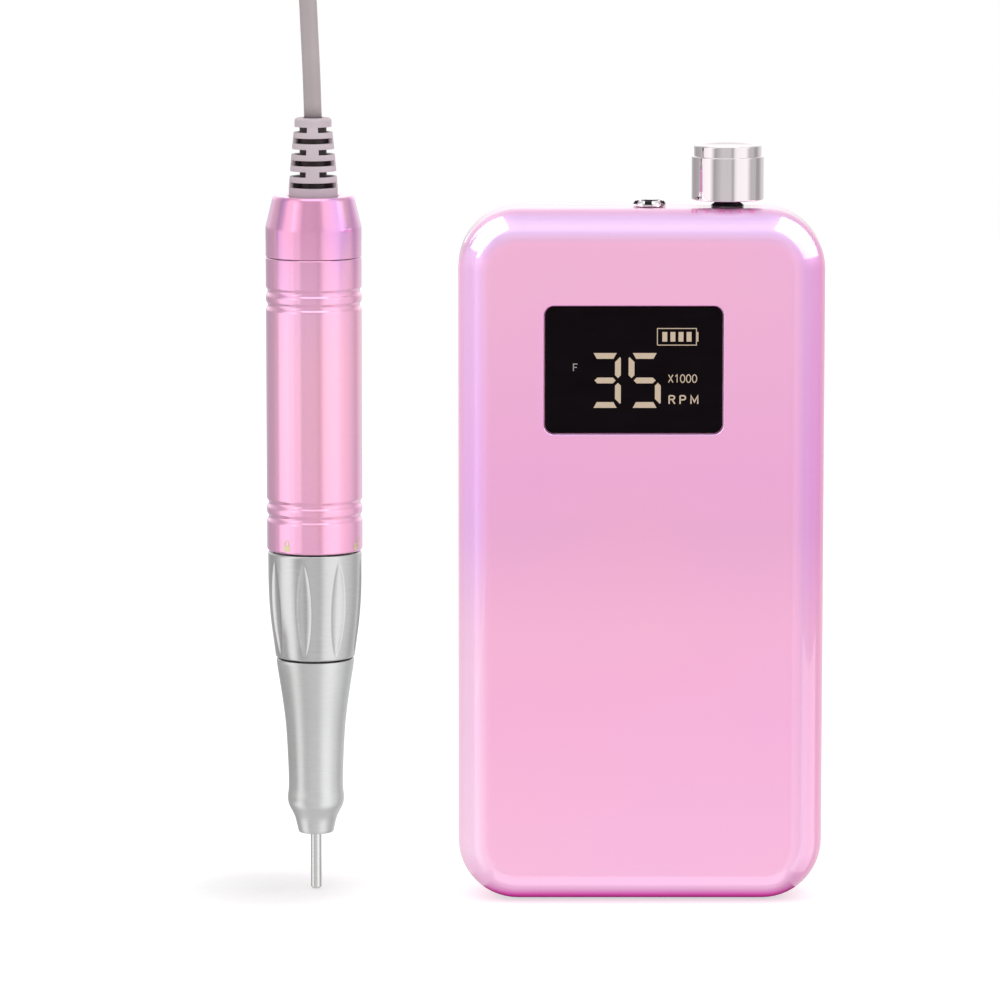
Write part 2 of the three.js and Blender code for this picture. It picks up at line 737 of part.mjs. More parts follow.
function tailCap() {
  const profile = [
    [BODY_BORE, CAP_BOTTOM], [BODY_RADIUS, CAP_BOTTOM], [BODY_RADIUS, CAP_TAPER],
    [8.8, CAP_TOP - 0.5], [8.4, CAP_TOP], [5.6, CAP_TOP], [5.6, CAP_TOP - 2.3], [7.9, CAP_TOP - 2.3],
    [BODY_BORE, CAP_TAPER - 0.5], [BODY_BORE, CAP_BOTTOM],
  ];
  return handTurned(profile, FINE);
}

function strainRelief() {
  const bore = CORD_RADIUS + 0.25;
  const profile = [
    [bore, 146.6], [7.2, 146.6], [7.2, 148.9], [5.26, 148.9], [5.26, 153.5], [5, 156.5], [4.6, 161.2],
    [4.1, 166], [3.95, 168], [3.75, BOOT_TOP], [bore, BOOT_TOP], [bore, 146.6],
  ];
  const pitch = 4.75;
  const slotHeight = 1.15;
  const webHalf = 1.05;
  const cutters = [];
  for (let level = 0; level < 6; level += 1) {
    const z = 153.95 + (level * pitch) / 2;
    const slot = handRing(3.1, 7, [z - slotHeight / 2, z + slotHeight / 2], COARSE);
    const across = [-webHalf, webHalf];
    const along = [-9, 9];
    const web = handBlock(level % 2 ? across : along, level % 2 ? along : across, [150, 170]);
    cutters.push(without(slot, [web]));
  }
  return without(handTurned(profile, MEDIUM), cutters);
}

function motorLead() {
  const x = HAND_X + 5.2;
  const y = HAND_Y;
  const route = [[x, y, 128.4], [x, y + 0.5, 133], [x - 2.4, y + 1, 138], [x - 4.4, y, 142], [x - 5.2, y, 146]];
  return tubeAlong(route, 0.8, 6, 10);
}

// A racetrack outline round two fold centres.
function racetrack(path, radius) {
  const half = HANK_RUN / 2;
  path.moveTo(-half, -radius);
  path.lineTo(half, -radius);
  path.absarc(half, 0, radius, -Math.PI / 2, Math.PI / 2, false);
  path.lineTo(-half, radius);
  path.absarc(-half, 0, radius, Math.PI / 2, Math.PI * 1.5, false);
}

function cordHank() {
  const soft = 1.6;
  const shape = new THREE.Shape();
  racetrack(shape, HANK_OUTER - soft);
  const eye = new THREE.Path();
  racetrack(eye, HANK_INNER + soft);
  shape.holes.push(eye);
  const geometry = new THREE.ExtrudeGeometry(shape, {
    depth: HANK_TOP - HANK_BOTTOM - 2 * soft,
    bevelEnabled: true,
    bevelThickness: soft,
    bevelSize: soft,
    bevelSegments: 2,
    curveSegments: 12,
  });
  geometry.translate(HANK_X, HANK_Y, HANK_BOTTOM + soft);
  return geometry;
}

function hankTie() {
  const inside = HANK_OUTER + TIE_GAP;
  const outside = inside + TIE_SKIN;
  const top = HANK_TOP + TIE_GAP;
  const x = [HANK_X - TIE_HALF_WIDTH, HANK_X + TIE_HALF_WIDTH];
  const low = 0.05;
  const band = block(x, [HANK_Y - outside, HANK_Y + outside], [low, top + TIE_SKIN]);
  const through = [HANK_X - TIE_HALF_WIDTH - 1, HANK_X + TIE_HALF_WIDTH + 1];
  const hollow = block(through, [HANK_Y - inside, HANK_Y + inside], [low + TIE_SKIN, top]);
  return without(band, [hollow]);
}

function plugBody() {
  return lyingRod('x', 3.6, [PLUG_REAR, PLUG_REAR + PLUG_LENGTH], PLUG_Y, PLUG_Z, COARSE);
}

function plugTip() {
  const start = PLUG_REAR + PLUG_LENGTH + 0.3;
  return lyingRod('x', 1.75, [start, start + TIP_LENGTH], PLUG_Y, PLUG_Z, COARSE);
}

function addControlBox(group) {
  part(group, 'front_shell', frontShell(), 'pink_pearl');
  part(group, 'back_cover', backCover(), 'pink_pearl');
  postPlaces().forEach(([x, z], i) => {
    part(group, `cover_screw_${i + 1}`, coverScrew(x, z), 'steel');
  });
  part(group, 'display_window', displayWindow(), 'window_black');
  part(group, 'display_module', displayModule(), 'display');
  part(group, 'main_board', mainBoard(), 'board_green');
  part(group, 'protection_board', protectionBoard(), 'board_green');
  for (let i = 0; i < 3; i += 1) {
    part(group, `battery_cell_${i + 1}`, cell(i), 'cell_wrap');
  }
  part(group, 'cell_bracket_lower', cellBracket(BRACKET_Z[0]), 'black_plastic');
  part(group, 'cell_bracket_upper', cellBracket(BRACKET_Z[1]), 'black_plastic');
  part(group, 'nickel_strip_lower', nickelStrip(-24, 4, 13.5), 'nickel');
  part(group, 'nickel_strip_upper', nickelStrip(-4, 24, 79.4), 'nickel');
  part(group, 'battery_lead', batteryLead(), 'wire_red');
  part(group, 'potentiometer_body', potentiometerBody(), 'steel');
  part(group, 'potentiometer_nut', potNut(), 'black_plastic');
  part(group, 'potentiometer_shaft', potShaft(), 'steel');
  part(group, 'speed_knob', speedKnob(), 'chrome');
  part(group, 'jack_body', jackBody(), 'black_plastic');
  part(group, 'jack_collar', jackCollar(), 'chrome');
  part(group, 'direction_switch_body', directionSwitchBody(), 'black_plastic');
  part(group, 'direction_slider', directionSlider(), 'white_plastic');
  part(group, 'charge_socket', chargeSocket(), 'black_plastic');
}

function addHandpiece(group) {
  part(group, 'blank_pin', blankPin(), 'steel');
  part(group, 'collet', collet(), 'steel');
  part(group, 'thrust_ring', thrustRing(), 'steel');
  part(group, 'collet_spring', colletSpring(), 'steel');
  part(group, 'spindle', spindle(), 'steel');
  part(group, 'dust_seal', handRing(3.1, 3.75, [16.5, 18.1], MEDIUM), 'felt');
  part(group, 'bearing_front', handRing(3.1, 4.85, [18.5, 22.5], MEDIUM), 'steel');
  part(group, 'bearing_rear', handRing(3.1, 4.1, [62.8, 66], MEDIUM), 'steel');
  part(group, 'nose_cone', noseCone(), 'satin_steel');
  part(group, 'chuck_housing', chuckHousing(), 'steel');
  part(group, 'push_sleeve', pushSleeve(), 'brass');
  part(group, 'cam_ring', camRing(), 'brass');
  part(group, 'twist_ring', twistRing(), 'chrome');
  part(group, 'drive_coupling', driveCoupling(), 'white_plastic');
  part(group, 'motor_can', motorCan(), 'steel');
  part(group, 'magnet_front', magnet(-1), 'magnet');
  part(group, 'magnet_rear', magnet(1), 'magnet');
  part(group, 'motor_shaft', motorShaft(), 'steel');
  part(group, 'armature', armature(), 'magnet');
  part(group, 'windings', windings(), 'copper');
  part(group, 'brush_right', brush(1), 'carbon');
  part(group, 'brush_left', brush(-1), 'carbon');
  part(group, 'motor_end_cap', motorEndCap(), 'black_plastic');
  part(group, 'motor_lead', motorLead(), 'wire_red');
  part(group, 'body_tube', bodyTube(), 'pink_pearl');
  part(group, 'tail_cap', tailCap(), 'pink_pearl');
  part(group, 'strain_relief', strainRelief(), 'cord_grey');
}

function addCord(group) {
  part(group, 'cord_tube', tubeAlong(CORD_ROUTE, CORD_RADIUS, 8, CORD_STEPS), 'cord_grey');
  part(group, 'cord_hank', cordHank(), 'cord_grey');
  part(group, 'hank_tie', hankTie(), 'strap');
  part(group, 'plug_body', plugBody(), 'cord_grey');
  part(group, 'plug_tip', plugTip(), 'brass');
}

const drill = new THREE.Group();
addControlBox(drill);
addHandpiece(drill);
addCord(drill);

export default drill;
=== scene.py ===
"""Looks for an electric nail drill: a control box, a handpiece and the lead between them.

Shapes are worked out in millimetres and turned into metres when a mesh is made.
"""

import math

import bmesh
import bpy
from mathutils import Matrix, Vector


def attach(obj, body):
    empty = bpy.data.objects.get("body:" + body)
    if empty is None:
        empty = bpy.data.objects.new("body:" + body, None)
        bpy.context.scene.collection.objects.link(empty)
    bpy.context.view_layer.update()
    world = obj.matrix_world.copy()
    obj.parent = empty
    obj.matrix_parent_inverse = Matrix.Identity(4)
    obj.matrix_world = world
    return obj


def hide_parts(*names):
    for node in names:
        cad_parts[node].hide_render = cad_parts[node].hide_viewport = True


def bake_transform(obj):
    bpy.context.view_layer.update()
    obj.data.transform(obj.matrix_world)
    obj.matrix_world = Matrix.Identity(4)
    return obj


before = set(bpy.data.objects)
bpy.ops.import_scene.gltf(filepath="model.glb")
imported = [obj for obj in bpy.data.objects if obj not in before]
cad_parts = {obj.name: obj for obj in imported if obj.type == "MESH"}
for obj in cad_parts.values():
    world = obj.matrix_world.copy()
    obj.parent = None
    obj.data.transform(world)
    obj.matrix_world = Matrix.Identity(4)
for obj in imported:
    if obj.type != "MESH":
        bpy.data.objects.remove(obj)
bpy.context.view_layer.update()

MM = 0.001
# The handpiece's axis, in mm.
HAND = (-70.4, 5.3)
# Radius and height of the boot's skin at its foot and below its rim.
BOOT_FOOT = (5.26, 153.3)
BOOT_NECK = (3.98, 166.4)

# Camera
CAMERA_TARGET = Vector((-0.03027, 0.0, 0.0862))
CAMERA_DISTANCE = 1.25
CAMERA_PITCH = math.radians(8)
CAMERA_LENS = 208.7


def place_camera():
    data = bpy.data.cameras.new("camera")
    data.sensor_width = 36
    data.lens = CAMERA_LENS
    data.clip_start = 0.05
    data.clip_end = 30
    camera = bpy.data.objects.new("camera", data)
    back = Vector((0, -math.cos(CAMERA_PITCH), math.sin(CAMERA_PITCH)))
    camera.location = CAMERA_TARGET + back * CAMERA_DISTANCE
    camera.rotation_euler = (math.pi / 2 - CAMERA_PITCH, 0, 0)
    bpy.context.scene.collection.objects.link(camera)
    bpy.context.scene.camera = camera


place_camera()

# ---------------------------------------------------------------- mesh helpers


def lerp(a, b, t):
    return a + (b - a) * t


def smooth(t):
    t = max(0.0, min(1.0, t))
    return t * t * (3 - 2 * t)


def rounded(profile, steps=5):
    """Rounds the corners of a profile. A point is (across, up) or (across, up, radius)."""
    points = []
    last = len(profile) - 1
    for i, point in enumerate(profile):
        here = Vector(point[:2])
        if len(point) == 2 or i in (0, last):
            points.append(tuple(here))
            continue
        before = Vector(profile[i - 1][:2]) - here
        after = Vector(profile[i + 1][:2]) - here
        cut = min(point[2], before.length * 0.49, after.length * 0.49)
        a = here + before.normalized() * cut
        b = here + after.normalized() * cut
        for k in range(steps + 1):
            t = k / steps
            points.append(tuple(a * (1 - t) ** 2 + here * 2 * t * (1 - t) + b * t ** 2))
    return points


def through(points, per_span=6):
    """A smooth curve through points, by centripetal Catmull-Rom."""
    vectors = [Vector(p) for p in points]
    ends = [vectors[0] * 2 - vectors[1], vectors[-1] * 2 - vectors[-2]]
    control = [ends[0], *vectors, ends[1]]
    out = []
    for i in range(1, len(control) - 2):
        p0, p1, p2, p3 = control[i - 1 : i + 3]
        t1 = (p1 - p0).length ** 0.5
        t2 = t1 + (p2 - p1).length ** 0.5
        t3 = t2 + (p3 - p2).length ** 0.5
        for k in range(per_span):
            t = lerp(t1, t2, k / per_span)
            a1 = p0 * ((t1 - t) / t1) + p1 * (t / t1)
            a2 = p1 * ((t2 - t) / (t2 - t1)) + p2 * ((t - t1) / (t2 - t1))
            a3 = p2 * ((t3 - t) / (t3 - t2)) + p3 * ((t - t2) / (t3 - t2))
            b1 = a1 * ((t2 - t) / t2) + a2 * (t / t2)
            b2 = a2 * ((t3 - t) / (t3 - t1)) + a3 * ((t - t1) / (t3 - t1))
            out.append(b1 * ((t2 - t) / (t2 - t1)) + b2 * ((t - t1) / (t2 - t1)))
    out.append(vectors[-1])
    return out


def revolve(profile, segments, centre=(0, 0), reach=None, closed=False):
    """A body turned about a vertical axis. reach(angle, radius, z) may change the radius."""
    verts = []
    rings = []
    for radius, z in profile:
        if radius < 1e-6:
            rings.append([len(verts)])
            verts.append((centre[0], centre[1], z))
            continue
        ring = []
        for i in range(segments):
            angle = math.tau * i / segments
            r = reach(angle, radius, z) if reach else radius
            ring.append(len(verts))
            verts.append((centre[0] + r * math.cos(angle), centre[1] + r * math.sin(angle), z))
        rings.append(ring)
    faces = bridge(rings, closed)
    return verts, faces


def bridge(rings, closed=False):
    """Faces between rings of vertex numbers. A ring of one is a pole."""
    faces = []
    pairs = list(zip(rings, rings[1:]))
    if closed:
        pairs.append((rings[-1], rings[0]))
    for low, high in pairs:
        count = max(len(low), len(high))
        for i in range(count):
            j = (i + 1) % count
            if len(low) == 1 and len(high) == 1:
                continue
            if len(low) == 1:
                faces.append((low[0], high[j], high[i]))
            elif len(high) == 1:
                faces.append((low[i], low[j], high[0]))
            else:
                faces.append((low[i], low[j], high[j], high[i]))
    return faces


def lofted(loops, closed=False, cap=False):
    """A surface through loops of 3-D points that all have the same count."""
    verts = []
    rings = []
    for loop in loops:
        rings.append(list(range(len(verts), len(verts) + len(loop))))
        verts.extend(tuple(p) for p in loop)
    faces = bridge(rings, closed)
    if cap:
        faces.append(tuple(reversed(rings[0])))
        faces.append(tuple(rings[-1]))
    return verts, faces


def several(shapes):
    """Joins (verts, faces) shapes into one."""
    verts = []
    faces = []
    for more_verts, more_faces in shapes:
        start = len(verts)
        verts.extend(more_verts)
        faces.extend(tuple(i + start for i in face) for face in more_faces)
    return verts, faces


def moved(shape, matrix):
    verts, faces = shape
    return [tuple(matrix @ Vector(v)) for v in verts], faces


def prism(outline, low, high):
    """A flat outline in (x, z) given thickness along Y."""
    loops = [[(x, y, z) for x, z in outline] for y in (low, high)]
    return lofted(loops, cap=True)


def block(x, z, y):
    """A block between two x, two z and two y values."""
    return prism([(x[0], z[0]), (x[1], z[0]), (x[1], z[1]), (x[0], z[1])], *y)


def new_mesh(name, shape):
    verts, faces = shape
    mesh = bpy.data.meshes.new(name)
    mesh.from_pydata([tuple(Vector(v) * MM) for v in verts], [], faces)
    work = bmesh.new()
    work.from_mesh(mesh)
    bmesh.ops.remove_doubles(work, verts=work.verts, dist=1e-7)
    bmesh.ops.recalc_face_normals(work, faces=work.faces)
    work.to_mesh(mesh)
    work.free()
    mesh.polygons.foreach_set("use_smooth", [True] * len(mesh.polygons))
    return mesh


def new_object(name, shape):
    piece = bpy.data.objects.new(name, new_mesh(name, shape))
    bpy.context.scene.collection.objects.link(piece)
    return piece


def apply_modifiers(piece):
    """Replaces a piece's mesh with what its modifiers make of it."""
    depsgraph = bpy.context.evaluated_depsgraph_get()
    mesh = bpy.data.meshes.new_from_object(piece.evaluated_get(depsgraph))
    piece.modifiers.clear()
    piece.data = mesh
    mesh.polygons.foreach_set("use_smooth", [True] * len(mesh.polygons))


def carve(piece, cutters):
    """Cuts each cutter shape out of a piece."""
    tools = []
    for i, shape in enumerate(cutters):
        tool = new_object(f"{piece.name}_cutter_{i}", shape)
        cut = piece.modifiers.new(f"cut_{i}", "BOOLEAN")
        cut.operation = "DIFFERENCE"
        cut.solver = "EXACT"
        cut.object = tool
        tools.append(tool)
    apply_modifiers(piece)
    for tool in tools:
        mesh = tool.data
        bpy.data.objects.remove(tool)
        bpy.data.meshes.remove(mesh)


def soften_edges(piece, width, angle=50, segments=2):
    """Rounds a piece's sharp edges."""
    bevel = piece.modifiers.new("edge", "BEVEL")
    bevel.width = width * MM
    bevel.segments = segments
    bevel.limit_method = "ANGLE"
    bevel.angle_limit = math.radians(angle)
    bevel.use_clamp_overlap = True
    apply_modifiers(piece)


def dress(piece, body, material, *replaces, slot=None, sharp=35, weighted=True):
    """Gives a piece its material, its body and the CAD nodes that it stands for.

    The slot argument is not used.
    """
    slot = slot or material
    piece.data.materials.clear()
    piece.data.materials.append(MATERIALS[material])
    piece.data.set_sharp_from_angle(angle=math.radians(sharp))
    if weighted:
        normals = piece.modifiers.new("normals", "WEIGHTED_NORMAL")
        normals.keep_sharp = True
    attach(piece, body)
    if replaces:
        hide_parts(*replaces)


# ------------------------------------------------------------------- materials


class Tree:
    """A node tree with a few short ways to add to it. A source is an output or a plain value."""

    def __init__(self, tree):
        self.tree = tree

    def feed(self, into, source):
        if isinstance(source, (int, float, tuple)):
            into.default_value = source
        else:
            self.tree.links.new(source, into)

    def node(self, kind, *sources, **settings):
        """Adds a node and feeds its inputs in order."""
        made = self.tree.nodes.new(kind)
        for key, value in settings.items():
            setattr(made, key, value)
        for into, source in zip(made.inputs, sources):
            self.feed(into, source)
        return made

    def maths(self, operation, *sources):
        return self.node("ShaderNodeMath", *sources, operation=operation).outputs[0]

    def axes(self, space="Object"):
        """The X, Y and Z outputs of a texture space."""
        where = self.node("ShaderNodeTexCoord")
        return self.node("ShaderNodeSeparateXYZ", where.outputs[space]).outputs

    def ramp(self, factor, stops):
        """A colour ramp. stops are (position, colour)."""
        ramp = self.node("ShaderNodeValToRGB", factor)
        elements = ramp.color_ramp.elements
        while len(elements) < len(stops):
            elements.new(0.5)
        for element, (position, colour) in zip(elements, stops):
            element.position = position
            element.color = colour
        return ramp.outputs["Color"]

    def spread(self, factor, low, high, start=0.3, end=0.7):
        """Maps a factor between start and end to a range of numbers."""
        return self.node("ShaderNodeMapRange", factor, start, end, low, high).outputs["Result"]

    def share(self, value, start, end):
        """0 at start and 1 at end."""
        return self.spread(value, 0.0, 1.0, start, end)

    def mix(self, factor, first, second, kind="MIX"):
        mix = self.node("ShaderNodeMix", data_type="RGBA", blend_type=kind)
        self.feed(mix.inputs["Factor"], factor)
        self.feed(mix.inputs["A"], first)
        self.feed(mix.inputs["B"], second)
        return mix.outputs["Result"]

    def times(self, first, *others):
        """One colour multiplied by others."""
        for other in others:
            first = self.mix(1.0, first, other, "MULTIPLY")
        return first


class Shader(Tree):
    """A Principled material."""

    def __init__(self, name):
        self.material = bpy.data.materials.new(name)
        self.material.use_nodes = True
        super().__init__(self.material.node_tree)
        self.bsdf = self.tree.nodes["Principled BSDF"]

    def set(self, **sources):
        """Feeds the shader's own sockets."""
        for key, source in sources.items():
            self.feed(self.bsdf.inputs[key.replace("_", " ")], source)

    def place(self, stretch=(1, 1, 1), shift=(0, 0, 0)):
        """Object coordinates, stretched and shifted."""
        where = self.node("ShaderNodeTexCoord")
        mapping = self.node("ShaderNodeMapping", where.outputs["Object"])
        mapping.inputs["Location"].default_value = shift
        mapping.inputs["Scale"].default_value = stretch
        return mapping.outputs["Vector"]

    def away_from(self, centre, reach=1.0):
        """Distance from a vertical axis in metres, as a share of reach."""
        shift = (-centre[0] / reach, -centre[1] / reach, 0)
        flat = self.place((1 / reach, 1 / reach, 0), shift)
        return self.node("ShaderNodeVectorMath", flat, operation="LENGTH").outputs["Value"]

    def noise(self, scale, detail=3.0, stretch=(1, 1, 1)):
        noise = self.node("ShaderNodeTexNoise", self.place(stretch))
        noise.inputs["Scale"].default_value = scale
        noise.inputs["Detail"].default_value = detail
        return noise.outputs["Fac"]

    def bump(self, height, strength, distance):
        bump = self.node("ShaderNodeBump")
        bump.inputs["Strength"].default_value = strength
        bump.inputs["Distance"].default_value = distance
        self.feed(bump.inputs["Height"], height)
        self.set(Normal=bump.outputs["Normal"])


def linear(value):
    return value / 12.92 if value <= 0.04045 else ((value + 0.055) / 1.055) ** 2.4


def rgb(red, green, blue):
    """A screen colour, 0 to 255, as linear light."""
    return tuple(linear(c / 255) for c in (red, green, blue)) + (1.0,)


def shade(colour, factor):
    return tuple(min(1.0, c * factor) for c in colour[:3]) + (1.0,)


def surface(name, colour, rough, metallic=0.0, vary=0.12, scale=90, grain=900, bump=0.1,
            depth=2e-5, stretch=(1, 1, 1), rough_spread=0.08, **settings):
    """A general material: colour and roughness that drift, and a fine grain in relief."""
    shader = Shader(name)
    drift = shader.noise(scale, 4.0, stretch)
    stops = [(0.3, shade(colour, 1 - vary)), (0.7, shade(colour, 1 + vary))]
    fine = shader.noise(grain, 2.0, stretch)
    low = max(0.02, rough - rough_spread)
    shader.set(Base_Color=shader.ramp(drift, stops),
               Roughness=shader.spread(fine, low, rough + rough_spread))
    shader.bump(fine, bump, depth)
    shader.set(Metallic=metallic, **settings)
    return shader.material


WHITE = rgb(255, 255, 255)
PEARL_PINK = rgb(255, 199, 229)
# Painted sheen and painted reflections down the rounding from the outline to the face, near the foot
# and near the top.
PEARL_SHEEN_LOW = [(0.0, rgb(255, 194, 222)), (0.35, rgb(255, 206, 232)), (0.6, rgb(255, 224, 248)),
             (0.9, rgb(255, 222, 246)), (0.997, PEARL_PINK)]
PEARL_SHEEN_HIGH = [(0.0, rgb(255, 172, 216)), (0.35, rgb(253, 184, 228)), (0.6, rgb(251, 208, 255)),
              (0.9, rgb(250, 207, 254)), (0.997, PEARL_PINK)]


def pearl_box():
    """Pearl lacquer on the box: pink faces, painted sheen in pale lilac round the edges, painted shade
    and a painted dark reflection in magenta underneath, painted shade on faces that turn right, and
    painted light and shade up the face.
    """
    shader = Shader("pearl_box")
    normal = shader.axes("Normal")
    height = shader.axes()["Z"]
    facing = shader.maths("ABSOLUTE", normal["Y"])
    upper = shader.share(height, 0.05, 0.08)
    # edge: painted sheen, pale lilac round the edges, more lilac higher up and pinker near the foot.
    edge = shader.mix(upper, shader.ramp(facing, PEARL_SHEEN_LOW), shader.ramp(facing, PEARL_SHEEN_HIGH))
    # Painted shade and a painted dark reflection: faces that look down go through pink to magenta and
    # nearly black; faces that look up are tinted a little greener.
    tilt_shade = shader.ramp(shader.share(normal["Z"], -1.0, 1.0), [
        (0.005, rgb(90, 50, 105)), (0.05, rgb(228, 44, 176)), (0.1, rgb(250, 124, 212)),
        (0.14, rgb(250, 188, 232)), (0.19, rgb(250, 220, 238)), (0.3, rgb(250, 231, 243)),
        (0.43, WHITE), (0.56, WHITE), (0.68, rgb(229, 240, 238)), (0.9, rgb(233, 245, 243)),
    ])
    # Painted shade: faces that turn to the right are darker.
    turn = shader.ramp(shader.share(normal["X"], -1.0, 1.0), [
        (0.58, WHITE), (0.72, rgb(229, 208, 222)), (0.95, rgb(250, 216, 228)),
    ])
    # Painted light and shade up the box: lightest near the foot, darker higher up.
    rise = shader.ramp(shader.share(height, 0.0, 0.15), [
        (0.03, WHITE), (0.26, rgb(251, 242, 250)), (0.4, rgb(249, 241, 244)),
        (0.54, rgb(238, 228, 239)), (0.62, rgb(239, 226, 241)), (0.87, rgb(242, 238, 241)),
    ])
    cloud = shader.noise(16, 2.0, (1, 1, 0.5))
    hue = shader.ramp(cloud, [(0.35, rgb(255, 246, 248)), (0.65, rgb(253, 244, 255))])
    fleck = shader.noise(5200, 1.0)
    sparkle = shader.ramp(fleck, [(0.4, rgb(252, 250, 252)), (0.75, WHITE)])
    shader.set(Base_Color=shader.times(edge, tilt_shade, turn, rise, hue, sparkle),
               Roughness=shader.spread(fleck, 0.3, 0.4))
    shader.bump(shader.noise(60, 2.0), 0.04, 2e-5)
    shader.set(Metallic=0.05, Specular_IOR_Level=0.3)
    shader.set(Coat_Weight=1.0, Coat_Roughness=0.04, Coat_IOR=1.6)
    return shader.material


def pearl_hand():
    """The same lacquer over metal on the handpiece, with more shine."""
    shader = Shader("pearl_hand")
    cloud = shader.noise(30, 2.0, (1, 1, 0.2))
    base = shader.ramp(cloud, [(0.35, rgb(252, 201, 225)), (0.5, rgb(252, 190, 216)),
                               (0.68, rgb(240, 194, 232))])
    fleck = shader.noise(5200, 1.0)
    sparkle = shader.ramp(fleck, [(0.4, rgb(250, 246, 250)), (0.75, WHITE)])
    height = shader.axes()["Z"]
    rise = shader.ramp(shader.share(height, 0.075, 0.15), [
        (0.0, rgb(252, 246, 255)), (0.3, rgb(255, 252, 250)), (0.55, rgb(255, 254, 250)),
        (0.8, rgb(247, 248, 255)), (1.0, rgb(244, 246, 255)),
    ])
    base = shader.times(base, rise)
    streaks = shader.ramp(shader.noise(150, 1.0, (1, 1, 0.12)), [
        (0.38, rgb(255, 250, 246)), (0.46, rgb(226, 219, 243)), (0.54, rgb(238, 222, 246)),
        (0.62, rgb(253, 230, 232)),
    ])
    top = shader.share(height, 0.126, 0.144)
    base = shader.mix(top, base, shader.times(base, streaks))
    shader.set(Base_Color=shader.times(base, sparkle), Roughness=shader.spread(fleck, 0.18, 0.24))
    shader.set(Metallic=0.8, Coat_Weight=0.7, Coat_Roughness=0.03, Coat_IOR=1.5)
    return shader.material


def boot_rubber():
    """The boot's soft plastic, with painted shade nearly black down inside its slots."""
    shader = Shader("boot_rubber")
    height = shader.axes()["Z"]
    foot, foot_z = (value * MM for value in BOOT_FOOT)
    neck, neck_z = (value * MM for value in BOOT_NECK)
    skin = shader.spread(height, foot, neck, foot_z, neck_z)
    depth = shader.maths("SUBTRACT", skin, shader.away_from((HAND[0] * MM, HAND[1] * MM)))
    below_rim = shader.spread(height, 1.0, 0.0, neck_z + 0.4 * MM, neck_z + 0.7 * MM)
    # Painted shade: down in the slots, below the skin, the colour goes nearly black.
    slot_shade = shader.maths("MULTIPLY", shader.share(depth, 0.4 * MM, 0.9 * MM), below_rim)
    tone = shader.ramp(shader.noise(160, 3.0), [(0.3, rgb(192, 181, 186)), (0.7, rgb(201, 190, 195))])
    dark = rgb(46, 28, 32)
    shader.set(Base_Color=shader.mix(slot_shade, tone, dark),
               Roughness=shader.spread(shader.noise(1900, 2.0), 0.5, 0.6))
    shader.bump(shader.noise(1900, 3.0), 0.15, 2e-5)
    return shader.material


def satin(name, colour, rough, anisotropic=0.5):
    """Turned and bead-blasted steel, with faint rings round it."""
    shader = Shader(name)
    rings = shader.noise(5200, 2.0, (0.08, 0.08, 1))
    drift = shader.noise(40, 3.0)
    tone = shader.ramp(drift, [(0.3, shade(colour, 0.96)), (0.7, shade(colour, 1.04))])
    lines = shader.ramp(rings, [(0.35, rgb(249, 249, 249)), (0.65, WHITE)])
    shader.set(Base_Color=shader.times(tone, lines),
               Roughness=shader.spread(rings, rough - 0.02, rough + 0.02))
    shader.bump(rings, 0.02, 2e-6)
    shader.set(Metallic=1.0, Anisotropic=anisotropic)
    return shader.material


def glass_black():
    """Glossy black window, with faint dust and smears."""
    shader = Shader("window_black")
    smear = shader.noise(140, 4.0, (1, 1, 2.5))
    tone = shader.ramp(smear, [(0.3, rgb(8, 3, 6)), (0.75, rgb(13, 7, 11))])
    shader.set(Base_Color=tone, Roughness=shader.spread(smear, 0.05, 0.1))
    shader.set(Metallic=0.0, IOR=1.49, Specular_IOR_Level=0.05)
    return shader.material


def lit(name, colour, strength):
    """A lit display segment."""
    shader = Shader(name)
    speck = shader.noise(2600, 2.0)
    tone = shader.ramp(speck, [(0.3, shade(colour, 0.93)), (0.7, shade(colour, 1.04))])
    shader.set(Base_Color=tone, Emission_Color=tone)
    shader.set(Emission_Strength=strength, Roughness=0.35)
    return shader.material


def board():
    """Solder mask with tracks in slight relief."""
    shader = Shader("board_green")
    tracks = shader.node("ShaderNodeTexBrick", shader.place())
    tracks.inputs["Scale"].default_value = 420
    tracks.inputs["Color1"].default_value = rgb(22, 92, 58)
    tracks.inputs["Color2"].default_value = rgb(28, 104, 66)
    tracks.inputs["Mortar"].default_value = rgb(46, 132, 88)
    shader.set(Base_Color=tracks.outputs["Color"],
               Roughness=shader.spread(shader.noise(800), 0.35, 0.55))
    shader.bump(tracks.outputs["Fac"], 0.3, 4e-5)
    return shader.material


